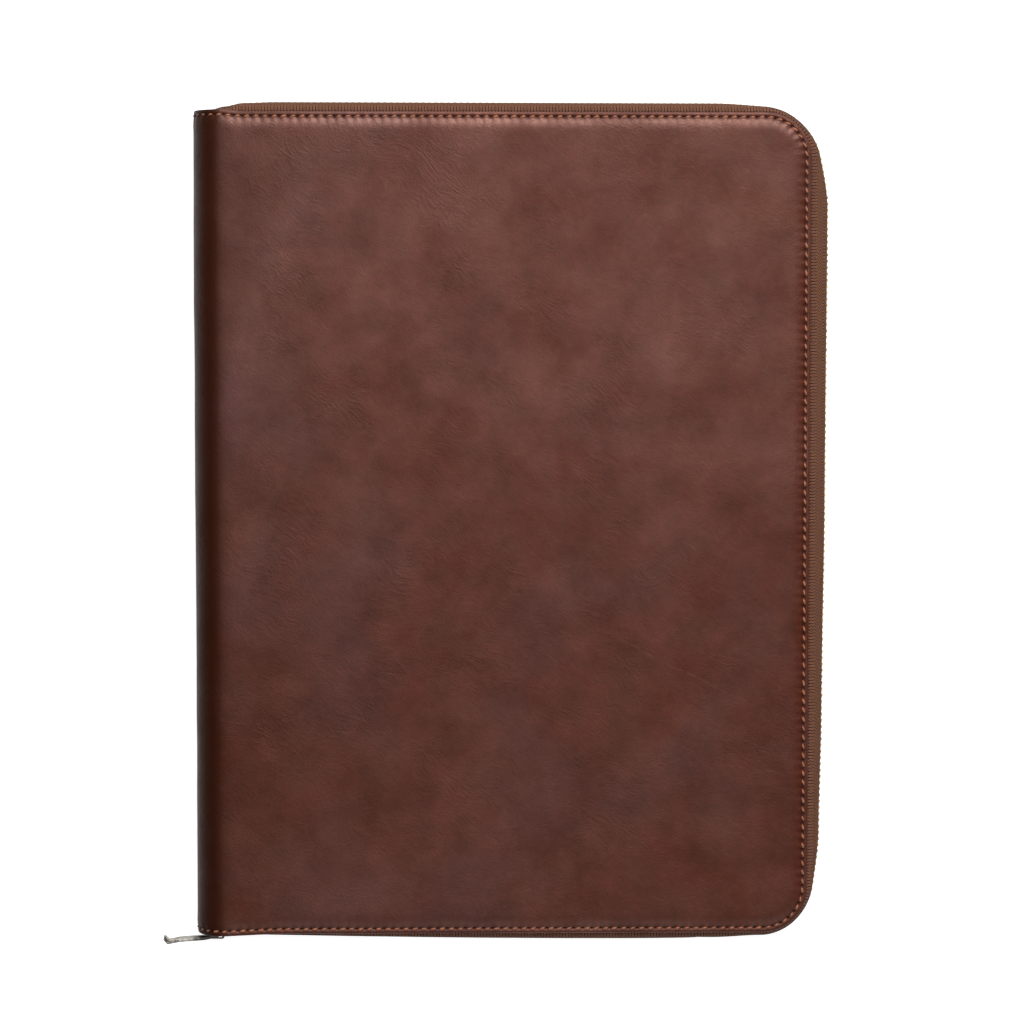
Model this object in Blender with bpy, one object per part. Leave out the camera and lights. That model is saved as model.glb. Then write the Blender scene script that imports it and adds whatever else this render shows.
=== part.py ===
"""Zip-around leather portfolio case for A4 papers, modelled closed and lying on its back cover.

+X runs from the spine to the free edge, +Y to the top of the cover, +Z up through the thickness.
The origin is the middle of the back cover's outer face. Sizes below are in millimetres.
"""

import math

import bmesh
import bpy
from mathutils import Matrix, Vector

MM = 0.001

# ---------------------------------------------------------------- driving dimensions
PANEL_W = 262.0  # spine's outermost face to the covers' free edge
PANEL_H = 350.0  # covers, top edge to bottom edge
THICK = 26.0  # closed, outer face to outer face
CORNER_R = 19.5  # the covers' two free corners

LEATHER_T = 1.3
PADDING_T = 1.2
BOARD_T = 1.6
LINING_T = 0.6
POCKET_T = 0.8
GAP = 0.3  # between faces that touch on the real case
BOARD_INSET = 5.2  # boards stop this far inside the leather's edge, clear of the seam
LINING_INSET = 1.0

BEND_STEP = 45.0  # degrees each spine fold opens: four of them lay the case flat
SPINE_CUT = 0.15  # half the slit between two spine strips, at the outer face

TAPE_T = 0.7
TAPE_MARGIN = 4.8  # tape held under the leather's edge
TAPE_RISE = 4.8  # from the parting plane to where the tape starts to lean inwards
TEETH_NEAR = 0.6  # the teeth's bar, from the parting plane
TEETH_FAR = 3.2
TEETH_HALF = 1.0  # half the teeth's thickness

SLIDER_X = -123.0  # middle of the slider when the zip is closed
SLIDER_LEN = 9.5
SLIDER_TRAVEL = 214.0
CHAIN_END_X = 100.0  # the lower run of the zip is straight up to here
CHAIN_OUT_A = -0.4  # how far outside the leather the chain runs at the slider
CHAIN_OUT_B = 3.0  # and at CHAIN_END_X

PULL_ANGLE = 8.6  # the pull stands off the zip by this many degrees
PULL_LEN = 22.8
PULL_W = 6.5
PULL_T = 1.2

PEN_X = -110.0
PEN_R_OUT = 5.2
PEN_R_IN = 4.4
PEN_LEN = 32.0

# ---------------------------------------------------------------- derived
LEFT = -PANEL_W / 2
RIGHT = PANEL_W / 2
TOP = PANEL_H / 2
SPINE_R = THICK / 2
SPINE_CX = LEFT + SPINE_R  # centre of the spine's half round
MID_Z = THICK / 2
ZIP_START_X = SPINE_CX + 0.5


def spine_point(angle, radius=SPINE_R):
    """A point of the spine's round, angle in degrees counted from the back cover round to the front."""
    a = math.radians(angle)
    return Vector((SPINE_CX - radius * math.sin(a), 0.0, MID_Z - radius * math.cos(a)))


# ---------------------------------------------------------------- scene helpers
for old in list(bpy.data.objects):
    bpy.data.objects.remove(old, do_unlink=True)

scene = bpy.context.scene
PALETTE = {
    "leather": ((0.098, 0.036, 0.022), 0.42, 0.0),
    "pocket_leather": ((0.085, 0.032, 0.020), 0.50, 0.0),
    "padding": ((0.30, 0.30, 0.30), 0.90, 0.0),
    "board": ((0.36, 0.31, 0.25), 0.85, 0.0),
    "lining": ((0.16, 0.085, 0.048), 0.95, 0.0),
    "zip_tape": ((0.145, 0.070, 0.038), 0.85, 0.0),
    "brass": ((0.62, 0.40, 0.13), 0.32, 1.0),
    "nickel": ((0.42, 0.40, 0.36), 0.30, 1.0),
}


def material_for(part, kind):
    colour, roughness, metallic = PALETTE[kind]
    mat = bpy.data.materials.new(part + "_material")
    mat.use_nodes = True
    shader = mat.node_tree.nodes["Principled BSDF"]
    shader.inputs["Base Color"].default_value = (*colour, 1.0)
    shader.inputs["Roughness"].default_value = roughness
    shader.inputs["Metallic"].default_value = metallic
    mat.diffuse_color = (*colour, 1.0)
    return mat


def axis_empty(name, point, parent=None, turn_z=0.0):
    """An empty on a joint's axis, point in mm in the case's frame."""
    empty = bpy.data.objects.new(name, None)
    empty.empty_display_size = 0.02
    scene.collection.objects.link(empty)
    offset = Vector(point) * MM
    if parent is not None:
        offset = offset - Vector(parent["at"])
        empty.parent = parent
    empty.location = offset
    empty.rotation_euler = (0.0, 0.0, turn_z)
    empty["at"] = list(Vector(point) * MM)
    return empty


def add_part(name, bm, body, kind, smooth=False, local=False):
    """Makes a node from a bmesh drawn in millimetres in the case's frame, or in the body's own frame with local."""
    if not local:
        bmesh.ops.translate(bm, verts=bm.verts, vec=-Vector(body["at"]) / MM)
    bmesh.ops.scale(bm, verts=bm.verts, vec=(MM, MM, MM))
    bmesh.ops.recalc_face_normals(bm, faces=bm.faces)
    mesh = bpy.data.meshes.new(name)
    bm.to_mesh(mesh)
    bm.free()
    if smooth:
        mesh.shade_smooth()
        mesh.set_sharp_from_angle(angle=math.radians(35))
    obj = bpy.data.objects.new(name, mesh)
    scene.collection.objects.link(obj)
    obj.parent = body
    mesh.materials.append(material_for(name, kind))
    return obj


def add_cutter(name, bm, body, local=False):
    obj = add_part(name, bm, body, "nickel", local=local)
    obj.hide_render = True
    obj.display_type = "WIRE"
    return obj


def boolean(obj, cutter, operation):
    mod = obj.modifiers.new(operation.lower(), "BOOLEAN")
    mod.operation = operation
    mod.object = cutter
    mod.solver = "EXACT"


def bevel(obj, width, segments=1, angle=40.0):
    mod = obj.modifiers.new("bevel", "BEVEL")
    mod.width = width * MM
    mod.segments = segments
    mod.limit_method = "ANGLE"
    mod.angle_limit = math.radians(angle)


# ---------------------------------------------------------------- shapes
def cover_outline(x0, inset, arc_steps=7):
    """The outline of a layer of a cover: straight at the spine side x0, two rounded free corners."""
    r = CORNER_R - inset
    cx, cy = RIGHT - CORNER_R, TOP - CORNER_R
    points = [(x0, -(TOP - inset))]
    for k in range(arc_steps + 1):
        a = -math.pi / 2 + math.pi / 2 * k / arc_steps
        points.append((cx + r * math.cos(a), -cy + r * math.sin(a)))
    for k in range(arc_steps + 1):
        a = math.pi / 2 * k / arc_steps
        points.append((cx + r * math.cos(a), cy + r * math.sin(a)))
    points.append((x0, TOP - inset))
    return points


def plate(points, z0, z1):
    """A flat plate: the outline as one face, extruded up."""
    bm = bmesh.new()
    face = bm.faces.new([bm.verts.new((x, y, z0)) for x, y in points])
    grown = bmesh.ops.extrude_face_region(bm, geom=[face])
    verts = [v for v in grown["geom"] if isinstance(v, bmesh.types.BMVert)]
    bmesh.ops.translate(bm, verts=verts, vec=(0, 0, z1 - z0))
    return bm


def box(x0, x1, y0, y1, z0, z1):
    return plate([(x0, y0), (x1, y0), (x1, y1), (x0, y1)], z0, z1)


def mirrored(z0, z1):
    """The front cover's layer that answers one of the back cover's."""
    return THICK - z1, THICK - z0


def cover_leather(front):
    """Flat cover leather whose spine side is spun on into the spine's round, up to the first fold."""
    z0, z1 = mirrored(0.0, LEATHER_T) if front else (0.0, LEATHER_T)
    bm = plate(cover_outline(SPINE_CX, 0.0), z0, z1)
    bm.faces.ensure_lookup_table()
    side = [f for f in bm.faces if all(abs(v.co.x - SPINE_CX) < 1e-6 for v in f.verts)]
    slit = math.degrees(SPINE_CUT / SPINE_R)
    turn = math.radians(BEND_STEP / 2 - slit)
    bmesh.ops.spin(
        bm,
        geom=side,
        cent=(SPINE_CX, 0, MID_Z),
        axis=(0, 1, 0),
        angle=-turn if front else turn,
        steps=3,
        use_duplicate=False,
    )
    inner = [f for f in bm.faces if all(abs(v.co.x - SPINE_CX) < 1e-6 for v in f.verts)]
    bmesh.ops.delete(bm, geom=inner, context="FACES_ONLY")
    return bm


def spine_strip(a0, a1, r_in, r_out, half_length, steps=5):
    """A strip of the spine's round: its section spun about the round's centre."""
    slit = math.degrees(SPINE_CUT / SPINE_R)
    start, turn = a0 + slit, a1 - a0 - 2 * slit
    corners = []
    for radius, y in (
        (r_in, -half_length),
        (r_out, -half_length),
        (r_out, half_length),
        (r_in, half_length),
    ):
        p = spine_point(start, radius)
        corners.append((p.x, y, p.z))
    bm = bmesh.new()
    first = bm.faces.new([bm.verts.new(c) for c in corners])
    spun = bmesh.ops.spin(
        bm,
        geom=[first, *first.edges, *first.verts],
        cent=(SPINE_CX, 0, MID_Z),
        axis=(0, 1, 0),
        angle=math.radians(turn),
        steps=steps,
        use_duplicate=False,
    )
    return bm


def smooth_between(knots, s):
    """Eased interpolation through (s, value) knots."""
    if s <= knots[0][0]:
        return knots[0][1]
    for (s0, v0), (s1, v1) in zip(knots, knots[1:]):
        if s <= s1:
            t = (s - s0) / (s1 - s0)
            return v0 + (v1 - v0) * t * t * (3 - 2 * t)
    return knots[-1][1]


RUN_X = RIGHT - CORNER_R - ZIP_START_X  # straight top or bottom run
RUN_Y = 2 * (TOP - CORNER_R)
ARC = math.pi / 2 * CORNER_R
CHAIN_SLOPE = (CHAIN_OUT_B - CHAIN_OUT_A) / (CHAIN_END_X - SLIDER_X)


def chain_out(x):
    """How far the straight lower run of the chain lies outside the leather's edge at x."""
    return CHAIN_OUT_A + CHAIN_SLOPE * (x - SLIDER_X)


S_CORNER_1 = RUN_X + ARC / 2
S_CORNER_2 = RUN_X + ARC + RUN_Y + ARC / 2
S_END = 2 * RUN_X + 2 * ARC + RUN_Y
S_STRAIGHT = S_END - (CHAIN_END_X - ZIP_START_X)
OUT_KNOTS = [
    (0.0, 2.2),
    (14.0, 3.9),
    (RUN_X - 22.0, 3.9),
    (S_CORNER_1, 1.6),
    (RUN_X + ARC + 24.0, 7.2),
    (RUN_X + ARC + RUN_Y * 0.55, 6.5),
    (RUN_X + ARC + RUN_Y - 24.0, 5.6),
    (S_CORNER_2, 1.5),
    (S_STRAIGHT, CHAIN_OUT_B),
]


def edge_at(s):
    """Point and outward direction on the leather's free edge, s along it from the spine's top end, clockwise seen from above."""
    cx, cy = RIGHT - CORNER_R, TOP - CORNER_R
    if s <= RUN_X:
        return Vector((ZIP_START_X + s, TOP)), Vector((0, 1))
    s -= RUN_X
    if s <= ARC:
        a = math.pi / 2 - s / CORNER_R
        n = Vector((math.cos(a), math.sin(a)))
        return Vector((cx, cy)) + n * CORNER_R, n
    s -= ARC
    if s <= RUN_Y:
        return Vector((RIGHT, cy - s)), Vector((1, 0))
    s -= RUN_Y
    if s <= ARC:
        a = -s / CORNER_R
        n = Vector((math.cos(a), math.sin(a)))
        return Vector((cx, -cy)) + n * CORNER_R, n
    s -= ARC
    return Vector((cx - s, -TOP)), Vector((0, -1))


def out_at(s):
    if s >= S_STRAIGHT:
        return chain_out(edge_at(s)[0].x)
    return smooth_between(OUT_KNOTS, s)


def stations():
    """Where the zip's sections stand along the edge: close together only where it turns or leans."""
    out = [0.0, 3.5, 7.0, 10.5, 14.0, RUN_X / 2]
    out += [RUN_X - 22.0 + k * 5.5 for k in range(4)]
    out += [RUN_X + ARC * k / 8 for k in range(9)]
    out += [RUN_X + ARC + 24.0 * k / 4 for k in range(1, 5)]
    out += [RUN_X + ARC + RUN_Y * k for k in (0.35, 0.55, 0.75)]
    out += [RUN_X + ARC + RUN_Y - 24.0 + 6.0 * k for k in range(4)]
    out += [RUN_X + ARC + RUN_Y + ARC * k / 8 for k in range(9)]
    out += [RUN_X + 2 * ARC + RUN_Y + 5.75, S_STRAIGHT, S_END]
    return sorted(set(round(s, 4) for s in out))


def sweep_edge(section):
    """Bridges section loops set up along the leather's free edge. section(out) gives (outward, z) points."""
    bm = bmesh.new()
    loops = []
    for s in stations():
        p, n = edge_at(s)
        ring = [
            bm.verts.new((p.x + n.x * u, p.y + n.y * u, z)) for u, z in section(out_at(s))
        ]
        loops.append(ring)
    for a, b in zip(loops, loops[1:]):
        for i in range(len(a)):
            j = (i + 1) % len(a)
            bm.faces.new((a[i], a[j], b[j], b[i]))
    bm.faces.new(list(reversed(loops[0])))
    bm.faces.new(loops[-1])
    return bm


def tape_section(out, front):
    """The zip tape: held under the leather, turning down over the edge, upright at the teeth."""
    z_hold = LEATHER_T + GAP + TAPE_T / 2
    z_up = MID_Z - TAPE_RISE
    line = [(-TAPE_MARGIN, z_hold)]
    for k in range(6):
        t = math.pi / 2 * k / 5
        line.append((out * math.sin(t), z_up - (z_up - z_hold) * math.cos(t)))
    line.append((out, MID_Z - TEETH_FAR - GAP))
    h = TAPE_T / 2
    left, right = [], []
    for i, (u, z) in enumerate(line):
        u0, z0 = line[max(i - 1, 0)]
        u1, z1 = line[min(i + 1, len(line) - 1)]
        d = Vector((u1 - u0, z1 - z0)).normalized()
        left.append((u - d.y * h, z + d.x * h))
        right.append((u + d.y * h, z - d.x * h))
    ring = left + right[::-1]
    return [(u, THICK - z) for u, z in ring] if front else ring


def teeth_section(out, front):
    z0, z1 = MID_Z - TEETH_FAR, MID_Z - TEETH_NEAR
    if front:
        z0, z1 = mirrored(z0, z1)
    return [
        (out - TEETH_HALF, z0),
        (out + TEETH_HALF, z0),
        (out + TEETH_HALF, z1),
        (out - TEETH_HALF, z1),
    ]


def extruded_profile(points, place, depth):
    """A profile drawn in two axes and extruded along the third. place maps (u, v, w) to a point."""
    bm = bmesh.new()
    face = bm.faces.new([bm.verts.new(place(u, v, -depth / 2)) for u, v in points])
    grown = bmesh.ops.extrude_face_region(bm, geom=[face])
    verts = [v for v in grown["geom"] if isinstance(v, bmesh.types.BMVert)]
    step = Vector(place(0, 0, depth / 2)) - Vector(place(0, 0, -depth / 2))
    bmesh.ops.translate(bm, verts=verts, vec=step)
    return bm


# ---------------------------------------------------------------- bodies: one empty on each joint's axis
back = axis_empty("back_frame", (0, 0, 0))
spine_lower = axis_empty("spine_lower_axis", spine_point(22.5), back)
spine_middle = axis_empty("spine_middle_axis", spine_point(67.5), spine_lower)
spine_upper = axis_empty("spine_upper_axis", spine_point(112.5), spine_middle)
front = axis_empty("front_axis", spine_point(157.5), spine_upper)
CHAIN_TURN = -math.atan(CHAIN_SLOPE)
SLIDER_AT = Vector((SLIDER_X, -TOP - CHAIN_OUT_A, MID_Z))
slider = axis_empty("slider_axis", SLIDER_AT, back, CHAIN_TURN)

# ---------------------------------------------------------------- covers
Z_PAD = LEATHER_T + GAP
Z_BOARD = Z_PAD + PADDING_T + GAP
Z_LINING = Z_BOARD + BOARD_T + GAP
Z_POCKET = Z_LINING + LINING_T + GAP
for side, body, is_front in (("back", back, False), ("front", front, True)):

    def level(z, t):
        return mirrored(z, z + t) if is_front else (z, z + t)

    add_part(f"{side}_leather", cover_leather(is_front), body, "leather", smooth=True)
    board = cover_outline(SPINE_CX + 1.5, BOARD_INSET)
    add_part(f"{side}_padding", plate(board, *level(Z_PAD, PADDING_T)), body, "padding")
    add_part(f"{side}_board", plate(board, *level(Z_BOARD, BOARD_T)), body, "board")
    add_part(
        f"{side}_lining",
        plate(cover_outline(SPINE_CX + 0.5, LINING_INSET), *level(Z_LINING, LINING_T)),
        body,
        "lining",
    )
    add_part(
        f"{side}_zip_tape",
        sweep_edge(lambda out: tape_section(out, is_front)),
        body,
        "zip_tape",
    )
    add_part(
        f"{side}_zip_teeth",
        sweep_edge(lambda out: teeth_section(out, is_front)),
        body,
        "brass",
    )
    # a clip closes the teeth's upper end, beside the spine
    z0, z1 = MID_Z - TEETH_FAR + 0.2, MID_Z - TEETH_NEAR
    if is_front:
        z0, z1 = mirrored(z0, z1)
    clip = box(-TEETH_HALF - 0.2, TEETH_HALF + 0.2, -1.3, 1.3, z0, z1)
    bmesh.ops.rotate(
        clip, verts=clip.verts, cent=(0, 0, 0), matrix=Matrix.Rotation(math.pi / 2, 3, "Z")
    )
    bmesh.ops.translate(
        clip, verts=clip.verts, vec=(ZIP_START_X - 1.65, TOP + OUT_KNOTS[0][1], 0)
    )
    bevel(add_part(f"{side}_zip_stop", clip, body, "brass"), 0.25)

# ---------------------------------------------------------------- spine strips
for body, label, a0 in (
    (spine_lower, "lower", 22.5),
    (spine_middle, "middle", 67.5),
    (spine_upper, "upper", 112.5),
):
    a1 = a0 + BEND_STEP
    add_part(
        f"spine_leather_{label}",
        spine_strip(a0, a1, SPINE_R - LEATHER_T, SPINE_R, TOP),
        body,
        "leather",
        smooth=True,
    )
    r = SPINE_R - LEATHER_T - GAP
    add_part(
        f"spine_lining_{label}",
        spine_strip(a0, a1, r - LINING_T, r, TOP - LINING_INSET),
        body,
        "lining",
        smooth=True,
    )

# ---------------------------------------------------------------- pockets
def pocket(name, x0, x1, y0, y_spine, y_free, layer, body, corner=0.0):
    """A flat pocket front on layer number layer. Its mouth runs from y_spine at x0 to y_free at x1."""
    z = Z_POCKET + layer * (POCKET_T + GAP)
    z0, z1 = (z, z + POCKET_T)
    if body is front:
        z0, z1 = mirrored(z0, z1)
    points = [(x0, y0)]
    if corner:
        for k in range(7):
            a = -math.pi / 2 + math.pi / 2 * k / 6
            points.append(
                (x1 - corner + corner * math.cos(a), y0 + corner + corner * math.sin(a))
            )
    else:
        points.append((x1, y0))
    points += [(x1, y_free), (x0, y_spine)]
    return add_part(name, plate(points, z0, z1), body, "pocket_leather")


POCKET_IN = 4.0  # pockets stop this far inside the leather's edge
pocket(
    "document_pocket",
    SPINE_CX + 6,
    RIGHT - POCKET_IN,
    -TOP + POCKET_IN,
    58.0,
    22.0,
    0,
    front,
    corner=CORNER_R - POCKET_IN,
)
CARD_X = (-84.0, 20.0)
for n, y_top in ((1, 8.0), (2, -8.0), (3, -24.0)):
    pocket(f"card_pocket_{n}", *CARD_X, -64.0, y_top, y_top, n, front)
pocket(
    "pad_pocket",
    SPINE_CX + 20,
    RIGHT - POCKET_IN,
    -TOP + POCKET_IN,
    -20.0,
    -48.0,
    0,
    back,
    corner=CORNER_R - POCKET_IN,
)

# ---------------------------------------------------------------- pen loop: a leather band rolled to a tube, on the back lining beside the spine
PEN_Z = Z_LINING + LINING_T + GAP + PEN_R_OUT
bm = bmesh.new()
ring_out = [
    bm.verts.new(
        (
            PEN_X + PEN_R_OUT * math.cos(2 * math.pi * k / 20),
            -PEN_LEN / 2,
            PEN_Z + PEN_R_OUT * math.sin(2 * math.pi * k / 20),
        )
    )
    for k in range(20)
]
ring_in = [
    bm.verts.new(
        (
            PEN_X + PEN_R_IN * math.cos(2 * math.pi * k / 20),
            -PEN_LEN / 2,
            PEN_Z + PEN_R_IN * math.sin(2 * math.pi * k / 20),
        )
    )
    for k in range(20)
]
edges = [
    bm.edges.new((ring[k], ring[(k + 1) % 20])) for ring in (ring_out, ring_in) for k in range(20)
]
ends = bmesh.ops.bridge_loops(bm, edges=edges)["faces"]
grown = bmesh.ops.extrude_face_region(bm, geom=ends)
bmesh.ops.translate(
    bm,
    verts=[v for v in grown["geom"] if isinstance(v, bmesh.types.BMVert)],
    vec=(0, PEN_LEN, 0),
)
add_part("pen_loop", bm, back, "pocket_leather", smooth=True)

# ---------------------------------------------------------------- tabs that close the spine's two ends behind the zip's tape ends
for label, y in (("lower", -TOP + 5.0), ("upper", TOP - 5.0)):
    points = []
    for k in range(9):
        a = math.radians(38 + 104 * k / 8)
        points.append((SPINE_CX - 9.6 * math.sin(a), MID_Z - 9.6 * math.cos(a)))
    points += [(SPINE_CX + 3.0, MID_Z + 7.0), (SPINE_CX + 3.0, MID_Z - 7.0)]
    tab = extruded_profile(points, lambda u, v, w, y=y: (u, y + w, v), 1.2)
    add_part(f"{label}_zip_end_tab", tab, back, "leather")

# ---------------------------------------------------------------- slider: two lipped plates on a web, drawn in the slider's own frame
# local x runs along the chain, -y is outwards, z across the two rows of teeth
PLATE_IN, PLATE_OUT = 1.3, 2.2  # a plate's faces, from the chain's middle plane
LIP = 0.7  # the lips reach in this far from the middle plane
LIP_Z0, LIP_Z1 = 3.6, 4.4
WEB = 0.3
half = [
    (WEB, 0.0),
    (WEB, PLATE_IN),
    (LIP_Z0, PLATE_IN),
    (LIP_Z0, LIP),
    (LIP_Z1, LIP),
    (LIP_Z1, PLATE_OUT),
]
section = (
    half
    + [(-z, o) for z, o in reversed(half)]
    + [(-z, -o) for z, o in half[1:]]
    + [(z, -o) for z, o in reversed(half[1:])]
)
section = [p for i, p in enumerate(section) if p != section[i - 1]]
body_bm = extruded_profile(section, lambda z, o, w: (w, -o, z), SLIDER_LEN)
slider_body = add_part("slider_body", body_bm, slider, "nickel", local=True)
shield = [
    (-4.75, -2.2),
    (-3.4, -4.6),
    (-0.5, -4.6),
    (4.75, -4.0),
    (4.75, 4.0),
    (-0.5, 4.6),
    (-3.4, 4.6),
    (-4.75, 2.2),
]
shield_cut = add_cutter(
    "slider_outline",
    extruded_profile(shield, lambda u, v, w: (u, w, v), 8.0),
    slider,
    local=True,
)
boolean(slider_body, shield_cut, "INTERSECT")

BRIDGE_X = 0.5  # bridge's middle on the slider
ARCH_OUT, ARCH_IN = 5.1, 4.2  # from the chain's middle plane
base = PLATE_OUT + GAP
arch = [
    (-3.0, base),
    (-3.0, 4.3),
    (-2.2, ARCH_OUT),
    (2.2, ARCH_OUT),
    (3.0, 4.3),
    (3.0, base),
    (2.0, base),
    (2.0, 4.0),
    (1.8, ARCH_IN),
    (-1.8, ARCH_IN),
    (-2.0, 4.0),
    (-2.0, base),
]
add_part(
    "slider_bridge",
    extruded_profile(arch, lambda u, v, w: (u + BRIDGE_X, -v, w), 1.8),
    slider,
    "nickel",
    local=True,
)

# ---------------------------------------------------------------- pull: its end bar turns under the bridge
PULL_OUT = 3.2  # the bar's middle, from the chain's middle plane
pull = bpy.data.objects.new("pull_axis", None)
pull.empty_display_size = 0.01
scene.collection.objects.link(pull)
pull.parent = slider
pull.location = Vector((BRIDGE_X, -PULL_OUT, 0.0)) * MM
pull.rotation_euler = (0, 0, math.radians(PULL_ANGLE) - CHAIN_TURN)
h = PULL_T / 2
line = [(0.6, 0.0), (-16.5, 0.0), (-19.3, 0.25), (-21.2, 1.05), (-PULL_LEN, 2.3)]
upper, lower = [], []
for i, (u, v) in enumerate(line):
    u0, v0 = line[max(i - 1, 0)]
    u1, v1 = line[min(i + 1, len(line) - 1)]
    d = Vector((u1 - u0, v1 - v0)).normalized()
    upper.append((u - d.y * h, v + d.x * h))
    lower.append((u + d.y * h, v - d.x * h))
strip = extruded_profile(upper + lower[::-1], lambda u, v, w: (u, v, w), PULL_W)
pull_tab = add_part("pull_tab", strip, pull, "nickel", local=True)
tip = [(1.2, -2.4), (1.2, 2.4)]
tip += [(-3.0, 2.4), (-7.0, PULL_W / 2 + 0.5), (-20.0, PULL_W / 2 + 0.5)]
tip += [
    (-20.2 - 3.4 * math.sin(math.pi * k / 8), 3.6 * math.cos(math.pi * k / 8))
    for k in range(9)
]
tip += [(-20.0, -PULL_W / 2 - 0.5), (-7.0, -PULL_W / 2 - 0.5), (-3.0, -2.4)]
outline = add_cutter(
    "pull_outline",
    extruded_profile(tip, lambda u, v, w: (u, w, v), 12.0),
    pull,
    local=True,
)
boolean(pull_tab, outline, "INTERSECT")
EYE = [(-0.6, -1.4), (-0.6, 1.4), (-4.2, 1.4), (-4.2, -1.4)]
eye = add_cutter(
    "pull_eye",
    extruded_profile(EYE, lambda u, v, w: (u, w, v), 6.0),
    pull,
    local=True,
)
boolean(pull_tab, eye, "DIFFERENCE")
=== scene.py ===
"""The looks of a zip-around leather portfolio case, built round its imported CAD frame.

Drawn in millimetres and scaled to metres when a mesh is made. The cover leather is drawn flat, with s across the
sheet (0 on the middle of the spine, + towards the front cover) and y up it, then wrapped round the CAD's outline.
"""

import math

import bmesh
import bpy
import numpy as np
from mathutils import Matrix, Vector, noise
from mathutils.geometry import delaunay_2d_cdt


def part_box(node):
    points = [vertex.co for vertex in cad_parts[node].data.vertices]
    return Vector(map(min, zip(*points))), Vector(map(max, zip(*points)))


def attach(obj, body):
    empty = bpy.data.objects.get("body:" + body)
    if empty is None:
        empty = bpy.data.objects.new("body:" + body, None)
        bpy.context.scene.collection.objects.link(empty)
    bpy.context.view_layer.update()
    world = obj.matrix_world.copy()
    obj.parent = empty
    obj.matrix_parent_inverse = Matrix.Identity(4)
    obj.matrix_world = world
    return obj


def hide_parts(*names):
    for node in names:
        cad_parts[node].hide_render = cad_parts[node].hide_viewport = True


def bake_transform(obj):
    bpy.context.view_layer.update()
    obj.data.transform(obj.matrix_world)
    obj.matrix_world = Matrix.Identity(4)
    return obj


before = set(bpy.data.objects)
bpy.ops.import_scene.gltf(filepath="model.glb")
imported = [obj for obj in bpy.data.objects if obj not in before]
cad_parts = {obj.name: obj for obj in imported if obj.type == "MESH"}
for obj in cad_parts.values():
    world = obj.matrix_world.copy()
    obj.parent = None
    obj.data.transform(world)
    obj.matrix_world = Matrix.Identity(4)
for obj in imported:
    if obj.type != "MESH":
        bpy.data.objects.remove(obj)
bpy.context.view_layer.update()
MM = 0.001

# ---------------------------------------------------------------- the CAD's sizes, in mm
T = 26.0
LEFT, RIGHT, TOP = -131.0, 131.0, 175.0
R_CORNER = 19.5
SR = T / 2
CX = LEFT + SR
MID = T / 2
HS = math.pi / 2 * SR  # half the spine's length round its bend
A = HS + (RIGHT - CX)  # half the unrolled sheet
B = TOP
LEATHER = 1.3
CHAIN_OUT_A, CHAIN_OUT_B, SLIDER_X, CHAIN_END_X = -0.4, 3.0, -123.0, 100.0
SLOPE = (CHAIN_OUT_B - CHAIN_OUT_A) / (CHAIN_END_X - SLIDER_X)
ZIP_START_X = CX + 0.5
SEAM = 2.15  # the seam, in from the leather's edge
PITCH = 3.88  # one stitch
TOOTH = 2.7  # one tooth

# each strip of the wrapped sheets: from s to s
CUTS = [-1e9, -HS / 2, 0.0, HS / 2, 1e9]
SIDES = ["back", "spine_lower", "spine_upper", "front"]


def smooth(x):
    x = np.clip(x, 0.0, 1.0)
    return x * x * (3 - 2 * x)


def wrap(s, y, h):
    """Sheet coordinates to the case's frame. h is outwards from the CAD's outer face. The sheet is a little longer at the spine, where it is stretched round the bend."""
    s, y, h = np.broadcast_arrays(
        np.asarray(s, float), np.asarray(y, float), np.asarray(h, float)
    )
    upper = smooth((HS + 9.0 - np.abs(s)) / 11.0) * 0.62
    lower = smooth((HS + 26.0 - np.abs(s)) / 28.0) * 0.85
    y = y * (1 + np.where(y > 0, upper, lower) / B * smooth((np.abs(y) - B + 30.0) / 28.0))
    theta = np.clip(s, -HS, HS) / SR
    beyond = np.abs(s) - HS
    flat = beyond > 0
    x = np.where(flat, CX + beyond, CX - (SR + h) * np.cos(theta))
    z = np.where(flat, np.where(s > 0, T + h, -h), MID + (SR + h) * np.sin(theta))
    return np.stack([x, y, z], -1)


def fractal(points, scale, octaves=3, seed=0.0):
    """Smooth noise at each point, roughly -1 to 1."""
    out = np.zeros(len(points))
    for i, p in enumerate(points):
        v = Vector((p[0] * scale + seed, p[1] * scale - seed, seed * 1.7))
        f, a = 1.0, 1.0
        t = 0.0
        for _ in range(octaves):
            t += a * noise.noise(v * f)
            f *= 2.1
            a *= 0.5
        out[i] = t
    return out


# ---------------------------------------------------------------- materials
def tree(name):
    mat = bpy.data.materials.new(name)
    mat.use_nodes = True
    nt = mat.node_tree
    return mat, nt, nt.nodes["Principled BSDF"]


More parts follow.
